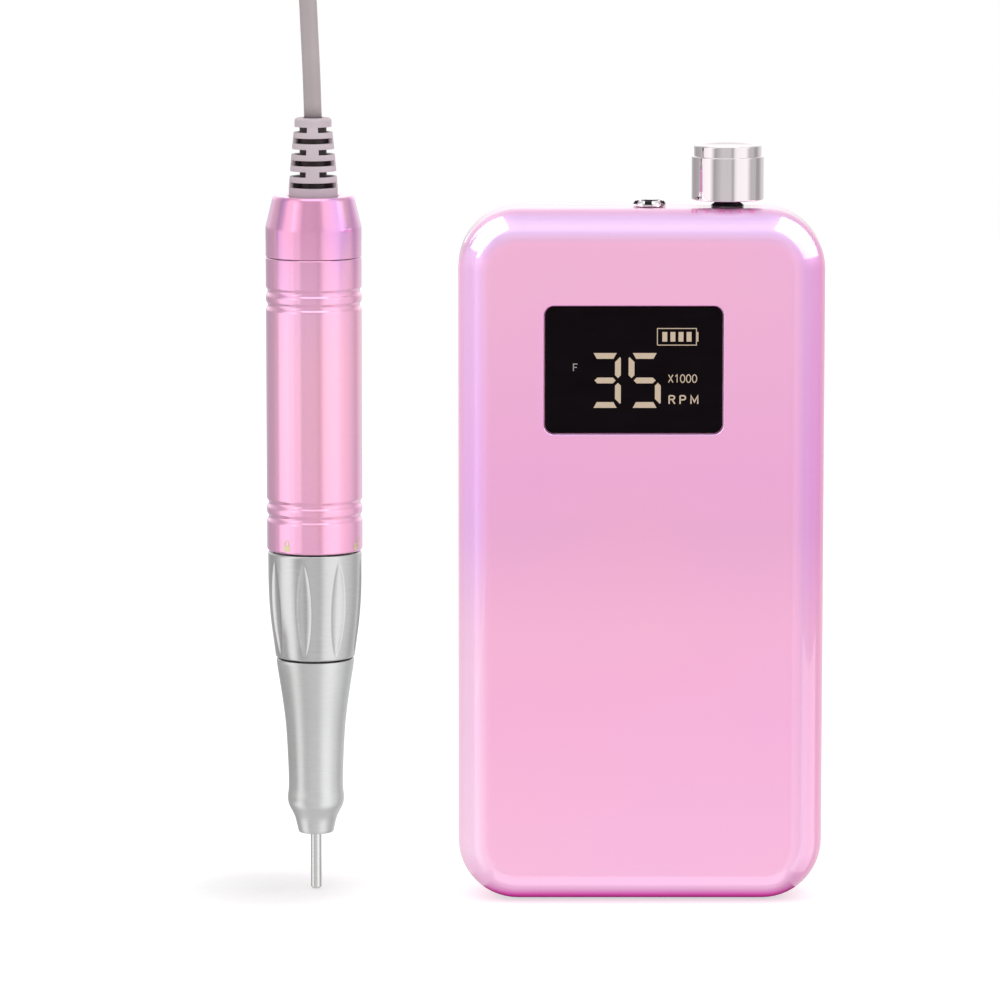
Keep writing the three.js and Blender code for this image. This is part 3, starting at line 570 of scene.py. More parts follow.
MATERIALS = {
    "pink_pearl": pearl_box(),
    "pearl_hand": pearl_hand(),
    "window_black": glass_black(),
    "display": surface("display", rgb(120, 112, 104), 0.4),
    "lit": lit("lit_segments", rgb(165, 149, 129), 0.55),
    "lit_dim": lit("lit_dim", rgb(140, 134, 132), 0.35),
    "print_pink": surface("print_pink", rgb(222, 108, 178), 0.4, vary=0.08, scale=700),
    "print_pale": surface("print_pale", rgb(214, 206, 170), 0.35, 0.5, vary=0.2, scale=900),
    "board_green": board(),
    "chrome": surface("chrome", rgb(222, 217, 219), 0.035, 1.0, 0.02, 60, 900, 0.02, 4e-6,
                      rough_spread=0.015),
    "black_plastic": surface("black_plastic", rgb(26, 26, 29), 0.45, vary=0.2, bump=0.25),
    "steel": surface("steel", rgb(196, 197, 199), 0.22, 1.0, 0.06, 300, 2400, 0.08, 8e-6,
                     (0.15, 0.15, 1)),
    "pin_steel": satin("pin_steel", rgb(214, 217, 215), 0.24, 0.0),
    "satin_steel": satin("satin_steel", rgb(210, 214, 212), 0.33),
    "ring_steel": satin("ring_steel", rgb(203, 206, 205), 0.25, 0.2),
    "brass": surface("brass", rgb(205, 164, 92), 0.28, 1.0, 0.08, 260),
    "nickel": surface("nickel", rgb(198, 194, 184), 0.3, 1.0, 0.06, 200),
    "cell_wrap": surface("cell_wrap", rgb(58, 124, 198), 0.3, 0.0, 0.08, 120),
    "white_plastic": surface("white_plastic", rgb(228, 226, 221), 0.45, 0.0, 0.03, 150),
    "magnet": surface("magnet", rgb(88, 86, 92), 0.45, 0.7, 0.15, 400, bump=0.3),
    "copper": surface("copper", rgb(196, 112, 62), 0.3, 1.0, 0.12, 500, 3000, 0.3, 4e-5,
                      (1, 1, 0.2)),
    "carbon": surface("carbon", rgb(46, 45, 48), 0.7, 0.1, 0.2, 600, bump=0.4),
    "felt": surface("felt", rgb(146, 141, 132), 0.95, 0.0, 0.2, 900, 2600, 0.6, 1e-4),
    "cord_grey": surface("cord_grey", rgb(172, 164, 165), 0.42, 0.0, 0.05, 130, 1600, 0.12, 2e-5),
    "boot_grey": boot_rubber(),
    "strap": surface("strap", rgb(52, 50, 55), 0.9, 0.0, 0.3, 1400, 3200, 0.7, 1.2e-4),
    "wire_red": surface("wire_red", rgb(180, 48, 42), 0.45, 0.0, 0.1, 200),
}


def repaint_cad_nodes():
    """Every CAD node that stays takes the detailed material of its own slot."""
    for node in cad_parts.values():
        for place in node.material_slots:
            slot = place.material.name.split(".")[0]
            place.material = MATERIALS[slot]


repaint_cad_nodes()

# ------------------------------------------------------------------------ lead

CORD_RADIUS = 1.9
CORD_EXIT = (-0.0704, 0.0053, 0.1683)

# From the boot, up out of the view, over and down beside the handpiece to the floor.
CORD_ROUTE = [
    CORD_EXIT, (-0.0707, 0.0053, 0.178), (-0.0711, 0.0053, 0.187),
    (-0.0716, 0.0053, 0.196), (-0.0736, 0.0053, 0.208), (-0.0788, 0.0054, 0.221),
    (-0.088, 0.0055, 0.2315), (-0.1, 0.0057, 0.237), (-0.1125, 0.0059, 0.2375),
    (-0.125, 0.0062, 0.233), (-0.1355, 0.0065, 0.224), (-0.143, 0.0068, 0.211),
    (-0.1476, 0.0071, 0.194), (-0.1504, 0.0074, 0.171), (-0.152, 0.0076, 0.146),
    (-0.153, 0.0078, 0.121), (-0.1537, 0.0079, 0.096), (-0.1541, 0.008, 0.071),
    (-0.1542, 0.008, 0.048), (-0.1542, 0.008, 0.031), (-0.1546, 0.0081, 0.0184),
    (-0.1564, 0.0083, 0.0108), (-0.1622, 0.0086, 0.0049), (-0.171, 0.009, 0.0028),
    (-0.1785, 0.0106, 0.0028),
]

# The hank: loops round two fold centres, two side by side on each of three levels.
HANK_X = -0.172
HANK_Y = 0.0015
HANK_RUN = 0.028
HANK_LOOPS = [
    (0.0114, 0.0028), (0.0152, 0.0028), (0.0152, 0.0066), (0.0114, 0.0066), (0.0114, 0.0104),
    (0.0152, 0.0104),
]
FOLD_POINTS = 6
RUN_POINTS = 3
PLUG_Y = HANK_Y - 0.0133
PLUG_Z = 0.0168
PLUG_REAR = -0.184


def hank_loop(here, following, first):
    """One loop: fold, back run, fold, front run. On the last run it slides to the next place."""
    points = []
    half = HANK_RUN / 2
    if not first:
        for k in range(RUN_POINTS):
            share = k / RUN_POINTS
            points.append((lerp(half, -half, share), here[0], here[1]))
    for k in range(FOLD_POINTS):
        angle = math.pi / 2 + math.pi * k / FOLD_POINTS
        points.append((-half + here[0] * math.cos(angle), here[0] * math.sin(angle), here[1]))
    for k in range(RUN_POINTS + 1):
        share = k / RUN_POINTS
        radius = lerp(here[0], following[0], smooth(share))
        points.append((lerp(-half, half, share), -radius, lerp(here[1], following[1], smooth(share))))
    for k in range(1, FOLD_POINTS):
        angle = -math.pi / 2 + math.pi * k / FOLD_POINTS
        points.append((half + following[0] * math.cos(angle), following[0] * math.sin(angle),
                       following[1]))
    return points


def hank():
    points = []
    for i, here in enumerate(HANK_LOOPS[:-1]):
        points.extend(hank_loop(here, HANK_LOOPS[i + 1], i == 0))
    radius, height = HANK_LOOPS[-1]
    half = HANK_RUN / 2
    for k in range(RUN_POINTS):
        points.append((lerp(half, -half, k / RUN_POINTS), radius, height))
    return [(HANK_X + x, HANK_Y + y, z) for x, y, z in points]


def into_plug():
    """The last fold, rising over the hank into the plug that lies on it."""
    points = []
    radius, height = HANK_LOOPS[-1]
    low_y = PLUG_Y - HANK_Y
    reach = (radius - low_y) / 2
    middle = (radius + low_y) / 2
    steps = 8
    for k in range(steps + 1):
        angle = math.pi / 2 + math.pi * k / steps
        x = HANK_X - HANK_RUN / 2 + reach * math.cos(angle)
        y = HANK_Y + middle + reach * math.sin(angle)
        points.append((x, y, lerp(height, PLUG_Z, smooth(k / steps * 1.05))))
    points.append((PLUG_REAR + 0.001, PLUG_Y, PLUG_Z))
    return points


def tube(path, radius, sides=20):
    """A closed tube along a path, without twist."""
    points = [Vector(p) for p in path]
    loops = []
    side = Vector((1, 0, 0))
    last = len(points) - 1
    for i, point in enumerate(points):
        ahead = (points[min(i + 1, last)] - points[max(i - 1, 0)]).normalized()
        side = (side - ahead * side.dot(ahead)).normalized()
        other = ahead.cross(side)
        loop = []
        for k in range(sides):
            angle = math.tau * k / sides
            loop.append(point + (side * math.cos(angle) + other * math.sin(angle)) * radius)
        loops.append(loop)
    return lofted(loops, cap=True)


def build_cord():
    bends = [*CORD_ROUTE, *hank(), *into_plug()]
    path = through([Vector(p) / MM for p in bends], 3)
    cord = new_object("lead", tube(path, CORD_RADIUS, 20))
    cord.data.materials.append(MATERIALS["cord_grey"])
    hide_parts("cord_tube", "cord_hank")
    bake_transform(cord)
    return cord, [tuple(p * MM) for p in path]


def build_plug():
    """A 3.5 mm plug: a moulded body with a ribbed tail, and a stepped metal tip."""
    along = Matrix.Translation((PLUG_REAR / MM, PLUG_Y / MM, PLUG_Z / MM))
    along = along @ Matrix.Rotation(math.pi / 2, 4, "Y")
    body_profile = rounded([
        (0, 0), (1.7, 0), (2.6, 0.6, 0.5), (2.8, 3.2, 0.3), (2.5, 3.7, 0.3), (2.5, 4.4, 0.3),
        (2.8, 4.8, 0.3), (3.0, 5.8, 0.3), (2.7, 6.3, 0.3), (2.7, 7.0, 0.3), (3.05, 7.4, 0.3),
        (3.35, 8.4, 0.3), (3.2, 9, 0.3), (3.2, 9.7, 0.4), (3.6, 10.5, 0.5), (3.6, 20.8, 0.4),
        (3.3, 22, 0.6), (2.4, 22), (0, 22),
    ])
    body = new_object("plug_moulding", moved(revolve(body_profile, 40), along))
    dress(body, "control_box", "boot_grey", "plug_body", slot="cord_grey")
    tip_profile = rounded([
        (0, 22.1), (1.75, 22.1, 0.05), (1.75, 28.2), (1.66, 28.2), (1.66, 28.7), (1.75, 28.7),
        (1.75, 30.9, 0.1), (1.35, 31.3, 0.2), (1.0, 31.9, 0.2), (1.45, 32.9, 0.3),
        (0.95, 35.2, 0.2), (0.5, 36.2), (0, 36.3),
    ], 3)
    tip = new_object("plug_contact", moved(revolve(tip_profile, 32), along))
    dress(tip, "control_box", "brass", "plug_tip")
    return body, tip


def build_tie():
    """A hook-and-loop strap round the hank, with its end lapped over."""
    side, low, high = 17.5, 0.35, 12.8
    half, thick, corner = 4.0, 0.3, 2.0
    middle_line = rounded([
        (6, low), (side, low, corner), (side, high, corner), (-side, high, corner),
        (-side, low, corner), (5.7, low),
    ], 8)
    loops = []
    last = len(middle_line) - 1
    for i, (across, up) in enumerate(middle_line):
        before = Vector(middle_line[max(i - 1, 0)])
        after = Vector(middle_line[min(i + 1, last)])
        ahead = (after - before).normalized()
        out = Vector((-ahead.y, ahead.x)) * thick
        loop = []
        for s, t in ((-1, -1), (-0.96, 1), (0.96, 1), (1, -1)):
            loop.append((half * s, across + out.x * t, max(up + out.y * t, 0.05)))
        loops.append(loop)
    flap_line = [(10.5, 13.1), (6, 13.35), (0, 13.38), (-4.5, 13.35), (-6, 13.2)]
    flap = []
    for across, up in flap_line:
        flap.append([(-3.4, across, up - 0.15), (3.4, across, up - 0.15), (3.2, across, up + 0.1),
                     (-3.2, across, up + 0.1)])
    turn = Matrix.Translation((HANK_X / MM, HANK_Y / MM, 0))
    shape = several([lofted(loops, cap=True), lofted(flap, cap=True)])
    tie = new_object("hank_strap", moved(shape, turn))
    dress(tie, "control_box", "strap", "hank_tie")
    return tie


lead, lead_path = build_cord()
plug_moulding, plug_contact = build_plug()
strap = build_tie()

# ----------------------------------------------------------------- control box

BOX_WIDTH = 78.5
BOX_HEIGHT = 149.7
BOX_HALF_DEPTH = 12.5
BOX_CORNER = 12.9
BOX_EDGE = 8.0
BOX_WALL = 2.2
FLAT_HALF = BOX_HALF_DEPTH - BOX_EDGE
SEAM_Y = 6.5
SEAM_HALF = 0.1
# Middle x, middle z, width and height.
WINDOW = (-1.8, 115.8, 37.8, 27.1)
WINDOW_CORNER = 1.9
WINDOW_GAP = 0.2
WINDOW_ROUNDING = 0.3
WINDOW_RECESS = 1.5
WINDOW_LEDGE = 1.0
CONTROL_Y = 0.5
KNOB_X = 18.45
JACK_X = 1.75
SWITCH_Z = 111.5
CHARGE_Y = 0.7
CHARGE_Z = 97.5
SCREW_PLACES = [(-31.2, 9.4), (31.2, 9.4), (-31.2, 139.4), (31.2, 139.4)]
ON_TOP = BOX_HEIGHT + 0.15
FACE_Y = -BOX_HALF_DEPTH
KNOB_HOLE = 2.5
JACK_HOLE = 2.95
CHARGE_HOLE = 3.0
SWITCH_SLOT_HALF = (2.2, 6.6)
SCREW_SINK = 2.6


def rounded_outline(width, height, corner, centre=(0, 0), steps=14):
    """Points of a rounded rectangle in (x, z), anticlockwise from the lower right."""
    points = []
    corner = max(corner, 0.05)
    for quarter in range(4):
        sx = 1 if quarter in (0, 1) else -1
        sz = 1 if quarter in (1, 2) else -1
        cx = centre[0] + sx * (width / 2 - corner)
        cz = centre[1] + sz * (height / 2 - corner)
        for k in range(steps + 1):
            angle = math.pi / 2 * (quarter - 1 + k / steps)
            points.append((cx + corner * math.cos(angle), cz + corner * math.sin(angle)))
    return points


def box_loop(y, inset):
    """The box's outline at depth y, taken in by inset."""
    outline = rounded_outline(
        BOX_WIDTH - 2 * inset, BOX_HEIGHT - 2 * inset, BOX_CORNER - inset, (0, BOX_HEIGHT / 2)
    )
    return [(x, y, z) for x, z in outline]


def window_loop(y, grow):
    x, z, width, height = WINDOW
    outline = rounded_outline(width + 2 * grow, height + 2 * grow, WINDOW_CORNER + grow, (x, z))
    return [(px, y, pz) for px, pz in outline]


def edge_inset(y):
    """How far the skin has come in at depth y."""
    over = max(0.0, abs(y) - FLAT_HALF)
    return BOX_EDGE - math.sqrt(max(0.0, BOX_EDGE * BOX_EDGE - over * over))


def edge_loops(sign, start_y, radius, wall, steps=18):
    """Loops from start_y round the rounded edge to the flat face, on one side."""
    first = math.asin(max(0.0, (abs(start_y) - FLAT_HALF)) / radius)
    loops = []
    for k in range(steps + 1):
        angle = lerp(first, math.pi / 2, k / steps)
        y = sign * (FLAT_HALF + radius * math.sin(angle))
        inset = wall + radius * (1 - math.cos(angle))
        loops.append(box_loop(y, inset))
    return loops


def lying(direction, radius, low, high, across, z, segments=32):
    """A cylinder lying along X or Y."""
    shape = revolve([(0, low), (radius, low), (radius, high), (0, high)], segments)
    if direction == "x":
        turn = Matrix.Rotation(math.pi / 2, 4, "Y")
        return moved(shape, Matrix.Translation((0, across, z)) @ turn)
    turn = Matrix.Rotation(-math.pi / 2, 4, "X")
    return moved(shape, Matrix.Translation((across, 0, z)) @ turn)


def standing(radius, low, high, x, y, segments=40):
    return revolve([(0, low), (radius, low), (radius, high), (0, high)], segments, (x, y))


def side_slot(low_x, high_x, half_y, low_z, high_z):
    """A slot with round ends, cut in from the side."""
    outline = rounded_outline(2 * half_y, high_z - low_z, half_y, (0, (low_z + high_z) / 2), 8)
    loops = [[(x, y, z) for y, z in outline] for x in (low_x, high_x)]
    return lofted(loops, cap=True)


def build_front_shell():
    rim = SEAM_Y - SEAM_HALF
    rim_inset = edge_inset(rim)
    loops = [box_loop(rim, rim_inset + 0.35), box_loop(rim - 0.05, rim_inset + 0.15)]
    for y in (6.1, 5.6, 5.0, FLAT_HALF):
        loops.append(box_loop(y, edge_inset(y)))
    loops.extend(edge_loops(-1, FLAT_HALF, BOX_EDGE, 0))
    loops.append(box_loop(FACE_Y, BOX_EDGE + 1.5))
    loops.append(window_loop(FACE_Y, 1.2))
    for k in range(5):
        angle = math.pi / 2 * k / 4
        y = FACE_Y + WINDOW_ROUNDING * (1 - math.cos(angle))
        loops.append(window_loop(y, WINDOW_GAP + WINDOW_ROUNDING * (1 - math.sin(angle))))
    loops.append(window_loop(FACE_Y + WINDOW_RECESS, WINDOW_GAP))
    loops.append(window_loop(FACE_Y + WINDOW_RECESS, -WINDOW_LEDGE))
    loops.append(window_loop(FACE_Y + BOX_WALL, -WINDOW_LEDGE))
    loops.extend(reversed(edge_loops(-1, FLAT_HALF, BOX_EDGE - BOX_WALL, BOX_WALL, 8)))
    loops.append(box_loop(rim, BOX_WALL + 0.3))
    shell = new_object("shell_front", lofted(loops, closed=True))
    top = BOX_HEIGHT
    half_y, half_z = SWITCH_SLOT_HALF
    carve(shell, [
        standing(KNOB_HOLE, top - 4, top + 2, KNOB_X, CONTROL_Y),
        standing(JACK_HOLE, top - 4, top + 2, JACK_X, CONTROL_Y),
        side_slot(35, 41, half_y, SWITCH_Z - half_z, SWITCH_Z + half_z),
        lying("x", CHARGE_HOLE, -41, -35, CHARGE_Y, CHARGE_Z),
    ])
    dress(shell, "control_box", "pink_pearl", "front_shell", sharp=30)


def build_back_cover():
    rim = SEAM_Y + SEAM_HALF
    rim_inset = edge_inset(rim)
    loops = [box_loop(rim, BOX_WALL + 0.4), box_loop(rim, rim_inset + 0.35)]
    loops.append(box_loop(rim + 0.05, rim_inset + 0.15))
    loops.extend(edge_loops(1, rim + 0.3, BOX_EDGE, 0))
    loops.append(box_loop(BOX_HALF_DEPTH, BOX_EDGE + 1.5))
    verts, faces = lofted(loops)
    count = len(loops[0])
    start = len(verts) - count
    faces.append(tuple(range(start, start + count)))
    inner = [box_loop(rim, BOX_WALL + 0.4)]
    inner.extend(edge_loops(1, rim + 0.3, BOX_EDGE - BOX_WALL, BOX_WALL, 8))
    inner_verts, inner_faces = lofted(inner)
    inner_start = len(inner_verts) - count
    inner_faces.append(tuple(reversed(range(inner_start, inner_start + count))))
    cover = new_object("shell_back", several([(verts, faces), (inner_verts, inner_faces)]))
    carve(cover, [lying("y", SCREW_SINK, 10.95, 14, x, z) for x, z in SCREW_PLACES])
    dress(cover, "control_box", "pink_pearl", "back_cover", sharp=30)


def build_screw(number, x, z):
    """A cross-head screw in the back cover."""
    profile = rounded([(0, 10.2), (0.01, 10.2), (2.3, 10.2, 0.1), (2.3, 10.7, 0.15),
                       (1.9, 11.2, 0.3), (0.01, 11.35)])
    along = Matrix.Translation((x, 0, z)) @ Matrix.Rotation(-math.pi / 2, 4, "X")
    screw = new_object(f"screw_{number}", moved(revolve(profile, 36), along))
    cutters = []
    for turn in (0.4, 0.4 + math.pi / 2):
        half = [(-1.3, -0.25), (1.3, -0.25), (1.3, 0.25), (-1.3, 0.25)]
        tip = [(px * 0.35, pz * 0.6) for px, pz in half]
        loops = [[(px, pz, 11.6) for px, pz in half], [(px, pz, 10.5) for px, pz in tip]]
        spin = along @ Matrix.Rotation(turn, 4, "Z")
        cutters.append(moved(lofted(loops, cap=True), spin))
    carve(screw, cutters)
    dress(screw, "control_box", "steel", f"cover_screw_{number}")


def build_window():
    """The black window: a plate with a rounded front edge."""
    front = FACE_Y + 0.2
    rounding = 0.55
    loops = [window_loop(front, -2.5)]
    for k in range(5):
        angle = math.pi / 2 * (4 - k) / 4
        y = front + rounding * (1 - math.sin(angle))
        loops.append(window_loop(y, -rounding * (1 - math.cos(angle))))
    loops.append(window_loop(front + 1.2, 0))
    window = new_object("window_glass", lofted(loops, cap=True))
    dress(window, "control_box", "window_black", "display_window", sharp=60)


GLYPH_FRONT = FACE_Y + 0.17
GLYPH_BACK = FACE_Y + 0.22

DIGIT_LOW = 107.75
DIGIT_HEIGHT = 11.75
# The bars that each digit lights.
DIGITS = {
    "3": ("top", "upper_right", "middle", "lower_right", "bottom"),
    "5": ("top", "upper_left", "middle", "lower_right", "bottom"),
}


def flipped(outline, x_sum=None, z_sum=None):
    """A mirror copy of an outline, kept anticlockwise."""
    points = []
    for x, z in reversed(outline):
        points.append((x if x_sum is None else x_sum - x, z if z_sum is None else z_sum - z))
    return points


def digit_bars(left, low, right, high, thick=1.24, inset=0.88, slant=0.7):
    """Outlines of a digit's seven bars: cut back at the corners and pointed at the middle."""
    middle = (low + high) / 2
    half = thick / 2
    bar_left = left + inset + 0.2
    bar_right = right - inset - 0.2
    joint = middle - 0.5
    x_sum = left + right
    z_sum = low + high
    bottom = [(left + inset, low), (right - inset, low), (right - inset - slant, low + thick),
              (left + inset + slant, low + thick)]
    bar = [(bar_left, middle), (bar_left + half, middle - half), (bar_right - half, middle - half),
           (bar_right, middle), (bar_right - half, middle + half), (bar_left + half, middle + half)]
    lower_right = [(right, low + inset + 0.2), (right, joint - half), (right - half, joint),
                   (right - thick, joint - half), (right - thick, low + inset + 0.85 * thick),
                   (right - 0.2, low + inset)]
    upper_right = flipped(lower_right, z_sum=z_sum)
    return {
        "bottom": bottom, "top": flipped(bottom, z_sum=z_sum), "middle": bar,
        "lower_right": lower_right, "upper_right": upper_right,
        "upper_left": flipped(upper_right, x_sum=x_sum),
    }


def digit(value, left, width):
    """A seven-segment digit."""
    bars = digit_bars(left, DIGIT_LOW, left + width, DIGIT_LOW + DIGIT_HEIGHT)
    return several([prism(bars[name], GLYPH_FRONT, GLYPH_BACK) for name in DIGITS[value]])


def stroke(points, width, low=GLYPH_FRONT, high=GLYPH_BACK):
    """A line of even width through (x, z) points, with mitred turns."""
    vectors = [Vector(p) for p in points]
    left = []
    right = []
    last = len(vectors) - 1
    for i, point in enumerate(vectors):
        before = (point - vectors[i - 1]).normalized() if i > 0 else None
        after = (vectors[i + 1] - point).normalized() if i < last else None
        ahead = ((before or after) + (after or before)).normalized()
        side = Vector((-ahead.y, ahead.x))
        reach = width / 2 / max(0.5, side.dot(Vector((-(after or before).y, (after or before).x))))
        left.append(tuple(point + side * reach))
        right.append(tuple(point - side * reach))
    outline = left + right[::-1]
    verts = [(x, low, z) for x, z in outline] + [(x, high, z) for x, z in outline]
    count = len(outline)
    faces = []
    for i in range(last):
        j = count - 1 - i
        faces.append((i, i + 1, j - 1, j))
        faces.append((count + j, count + j - 1, count + i + 1, count + i))
    for i in range(count):
        j = (i + 1) % count
        faces.append((i, count + i, count + j, j))
    return verts, faces


def arc(cx, cz, rx, rz, start, end, steps=8):
    points = []
    for k in range(steps + 1):
        angle = math.radians(lerp(start, end, k / steps))
        points.append((cx + rx * math.cos(angle), cz + rz * math.sin(angle)))
    return points


# Letters and figures as strokes in a cell one wide and one high.
LETTERS = {
    "X": [[(0, 0), (1, 1)], [(0, 1), (1, 0)]],
    "1": [[(0.2, 0.78), (0.6, 1), (0.6, 0)]],
    "0": [arc(0.5, 0.5, 0.5, 0.5, 0, 360, 20)],
    "R": [[(0, 0), (0, 1)], [(0, 1), (0.42, 1), *arc(0.44, 0.77, 0.36, 0.23, 80, -80), (0, 0.54)],
          [(0.42, 0.54), (0.84, 0)]],
    "P": [[(0, 0), (0, 1)], [(0, 1), (0.42, 1), *arc(0.44, 0.75, 0.36, 0.25, 80, -80), (0, 0.5)]],
    "M": [[(0, 0), (0, 1), (0.5, 0.25), (1, 1), (1, 0)]],
    "F": [[(0, 0), (0, 1), (0.95, 1)], [(0, 0.52), (0.8, 0.52)]],
}


def label(text, left, right, low, high, width, spacing):
    """A word between two x values. spacing is the gap between letters as a share of a letter."""
    pitch = (right - left) / (len(text) + spacing * (len(text) - 1))
    shapes = []
    for i, letter in enumerate(text):
        start = left + i * pitch * (1 + spacing)
        for line in LETTERS[letter]:
            points = [(start + x * pitch, lerp(low, high, z)) for x, z in line]
            shapes.append(stroke(points, width))
    return several(shapes)


def readout(name, shapes, material="lit"):
    piece = new_object(f"readout_{name}", several(shapes))
    dress(piece, "control_box", material, slot="display", weighted=False)


def build_readout():
    """Two digits, a battery sign, the units and the direction's letter."""
    readout("digits", [digit("3", -11.25, 6.7), digit("5", -2.9, 6.85)])
    left, right, low, high = 3.2, 11.5, 121.2, 124.75
    frame_line = [(left, low), (right, low), (right, high), (left, high), (left, low)]
    inset = 0.75
    bar_width = 1.05
    spans = [(left + bar_width + i * 1.72, bar_width) for i in range(4)]
    spans.append((right + 0.12, 0.3))
    between = (low + inset, high - inset)
    bars = [block((x, x + width), between, (GLYPH_FRONT, GLYPH_BACK)) for x, width in spans]
    readout("battery", [*bars, stroke(frame_line, 0.18)])
    readout("units", [
        label("X1000", 5.6, 11.6, 113.2, 114.85, 0.2, 0.35),
        label("RPM", 5.75, 11.85, 108.6, 110.35, 0.3, 0.62),
    ])
    readout("direction", [label("F", -14.65, -13.75, 115.65, 117.15, 0.2, 0)], "lit_dim")


def build_knob():
    """Two-step chromed knob with a shallow dished top."""
    radius, low, step, top = 7.7, 151.2, 160.5, 162.9
    hollow, dish, ceiling = 6.3, top - 0.35, 158.6
    profile = rounded([
        (hollow, low + 0.8), (hollow, low, 0.1), (radius, low, 0.3), (radius, step, 0.25),
        (7.28, step, 0.1), (7.2, step - 0.3, 0.05), (7.2, top, 0.35), (5.9, top, 0.5),
        (5.5, top - 0.25, 0.4), (0.02, dish),
    ], 6)
    profile.extend([(0, dish), (0, ceiling), (hollow, ceiling)])
    knob = new_object("knob_chrome", revolve(profile, 128, (KNOB_X, CONTROL_Y), closed=True))
    dress(knob, "knob", "chrome", "speed_knob", sharp=30)


def build_knob_nut():
    profile = rounded([
        (2.2, ON_TOP), (3.6, ON_TOP, 0.1), (3.3, ON_TOP + 0.3, 0.2), (2.7, ON_TOP + 0.75, 0.3),
        (2.5, 151.1, 0.1), (2.2, 151.1),
    ])
    shape = revolve(profile, 48, (KNOB_X, CONTROL_Y), closed=True)
    nut = new_object("knob_collar", shape)
    dress(nut, "control_box", "black_plastic", "potentiometer_nut")


def build_jack_collar():
    """Chromed nut of the handpiece socket, notched for a spanner, round a black insert."""
    top = 151.0
    profile = rounded([
        (2.9, ON_TOP), (3.53, ON_TOP, 0.05), (3.53, top - 0.5, 0.15), (3.15, top, 0.2),
        (2.35, top, 0.1), (1.95, top - 0.4, 0.1), (1.95, ON_TOP + 0.5), (2.9, ON_TOP + 0.5),
    ])
    shape = revolve(profile, 72, (JACK_X, CONTROL_Y), closed=True)
    collar = new_object("jack_nut", shape)
    notch = block((1, 5), (top - 0.75, top + 1), (-0.75, 0.75))
    centre = Matrix.Translation((JACK_X, CONTROL_Y, 0))
    turns = [centre @ Matrix.Rotation(math.radians(angle), 4, "Z")
             for angle in (-96, -32, 28, 84, 148, 208)]
    carve(collar, [moved(notch, turn) for turn in turns])
    dress(collar, "control_box", "chrome", "jack_collar")
    sleeve = [(1.7, ON_TOP), (1.93, ON_TOP), (1.93, top - 0.1), (1.7, top - 0.1)]
    insert = new_object("jack_insert", revolve(sleeve, 48, (JACK_X, CONTROL_Y), closed=True))
    dress(insert, "control_box", "black_plastic")


def top_surface(y):
    """Height of the box's top skin at depth y, near the middle of its width."""
    return BOX_HEIGHT - edge_inset(y)


# The dial's marks, in mm from the knob's axis, printed along the front of the top face.
DIAL_MARKS = [-7.7, -6.9, -4.7, -1.9, -1.1, 0.4, 2.4, 4.6, 5.2]


def build_dial_marks():
    """A row of small marks on the box's top edge, in front of the knob."""
    shapes = []
    half = 0.17
    steps = 6
    for across in DIAL_MARKS:
        loops = []
        for k in range(steps + 1):
            angle = math.radians(lerp(9, 25, k / steps))
            y = -FLAT_HALF - BOX_EDGE * math.sin(angle)
            loop = []
            for side, lift in ((-1, -0.02), (-1, 0.03), (1, 0.03), (1, -0.02)):
                x = KNOB_X + across + side * half
                loop.append((x, y, top_surface(y) + lift))
            loops.append(loop)
        shapes.append(lofted(loops, cap=True))
    marks = new_object("dial_marks", several(shapes))
    dress(marks, "control_box", "print_pink", slot="pink_pearl", weighted=False)


def build_direction_slider():
    top = SWITCH_Z + 6.3
    outline = rounded_outline(3.8, 7.5, 0.7, (0, top - 3.75), 6)
    loops = [[(x, y, z) for y, z in outline] for x in (35.6, 38.9)]
    slider = new_object("slider_cap", lofted(loops, cap=True))
    grips = []
    for drop in (1.2, 3.0, 4.8):
        low, high = top - drop - 1, top - drop
        profile = [(38.35, low + 0.2), (39.5, low), (39.5, high), (38.35, high - 0.2)]
        grips.append(prism(profile, -3, 3))
    carve(slider, grips)
    soften_edges(slider, 0.15, 40)
    dress(slider, "direction_switch", "white_plastic", "direction_slider")
    stem = block((31, 35.7), (SWITCH_Z + 1.3, SWITCH_Z + 4.1), (-0.9, 0.9))
    piece = new_object("slider_stem", stem)
    soften_edges(piece, 0.15, 40)
    dress(piece, "direction_switch", "white_plastic")


def build_charge_socket():
    """The charging socket: a housing inside the wall, its lip and its centre contact."""
    along = Matrix.Translation((0, CHARGE_Y, CHARGE_Z)) @ Matrix.Rotation(-math.pi / 2, 4, "Y")
    profile = rounded([
        (1.8, 30), (2.7, 30), (2.7, 38.9, 0.2), (2.3, 39.0, 0.2), (1.8, 38.6, 0.1), (1.8, 30),
    ])
    ring = new_object("charge_lip", moved(revolve(profile, 48), along))
    dress(ring, "control_box", "black_plastic", "charge_socket")
    outline = rounded_outline(9, 11, 0.5, (0, CHARGE_Z), 4)
    loops = [[(x, CHARGE_Y + y, z) for y, z in outline] for x in (-29.9, -24.2)]
    housing = new_object("charge_housing", lofted(loops, cap=True))
    dress(housing, "control_box", "black_plastic")
    pin_profile = rounded([(0, 29.8), (0.6, 29.8), (0.6, 38.0, 0.25), (0, 38.1)])
    pin = new_object("charge_contact", moved(revolve(pin_profile, 24), along))
    dress(pin, "control_box", "nickel")


build_front_shell()
build_back_cover()
for screw_number, (screw_x, screw_z) in enumerate(SCREW_PLACES, 1):
    build_screw(screw_number, screw_x, screw_z)
build_window()
build_readout()
build_knob()
build_knob_nut()
build_jack_collar()
build_dial_marks()
build_direction_slider()
build_charge_socket()

# ------------------------------------------------------------------- handpiece

TURNED = 160
BODY_RADIUS = 10.35
GROOVES = (82.2, 85.2, 128.1, 131.1)
FLUTES = 8
FLUTE_MIDDLE = 62.6
FLUTE_HALF_LENGTH = 10.4
FLUTE_HALF_WIDTH = 1.75
FLUTE_DEPTH = 0.62


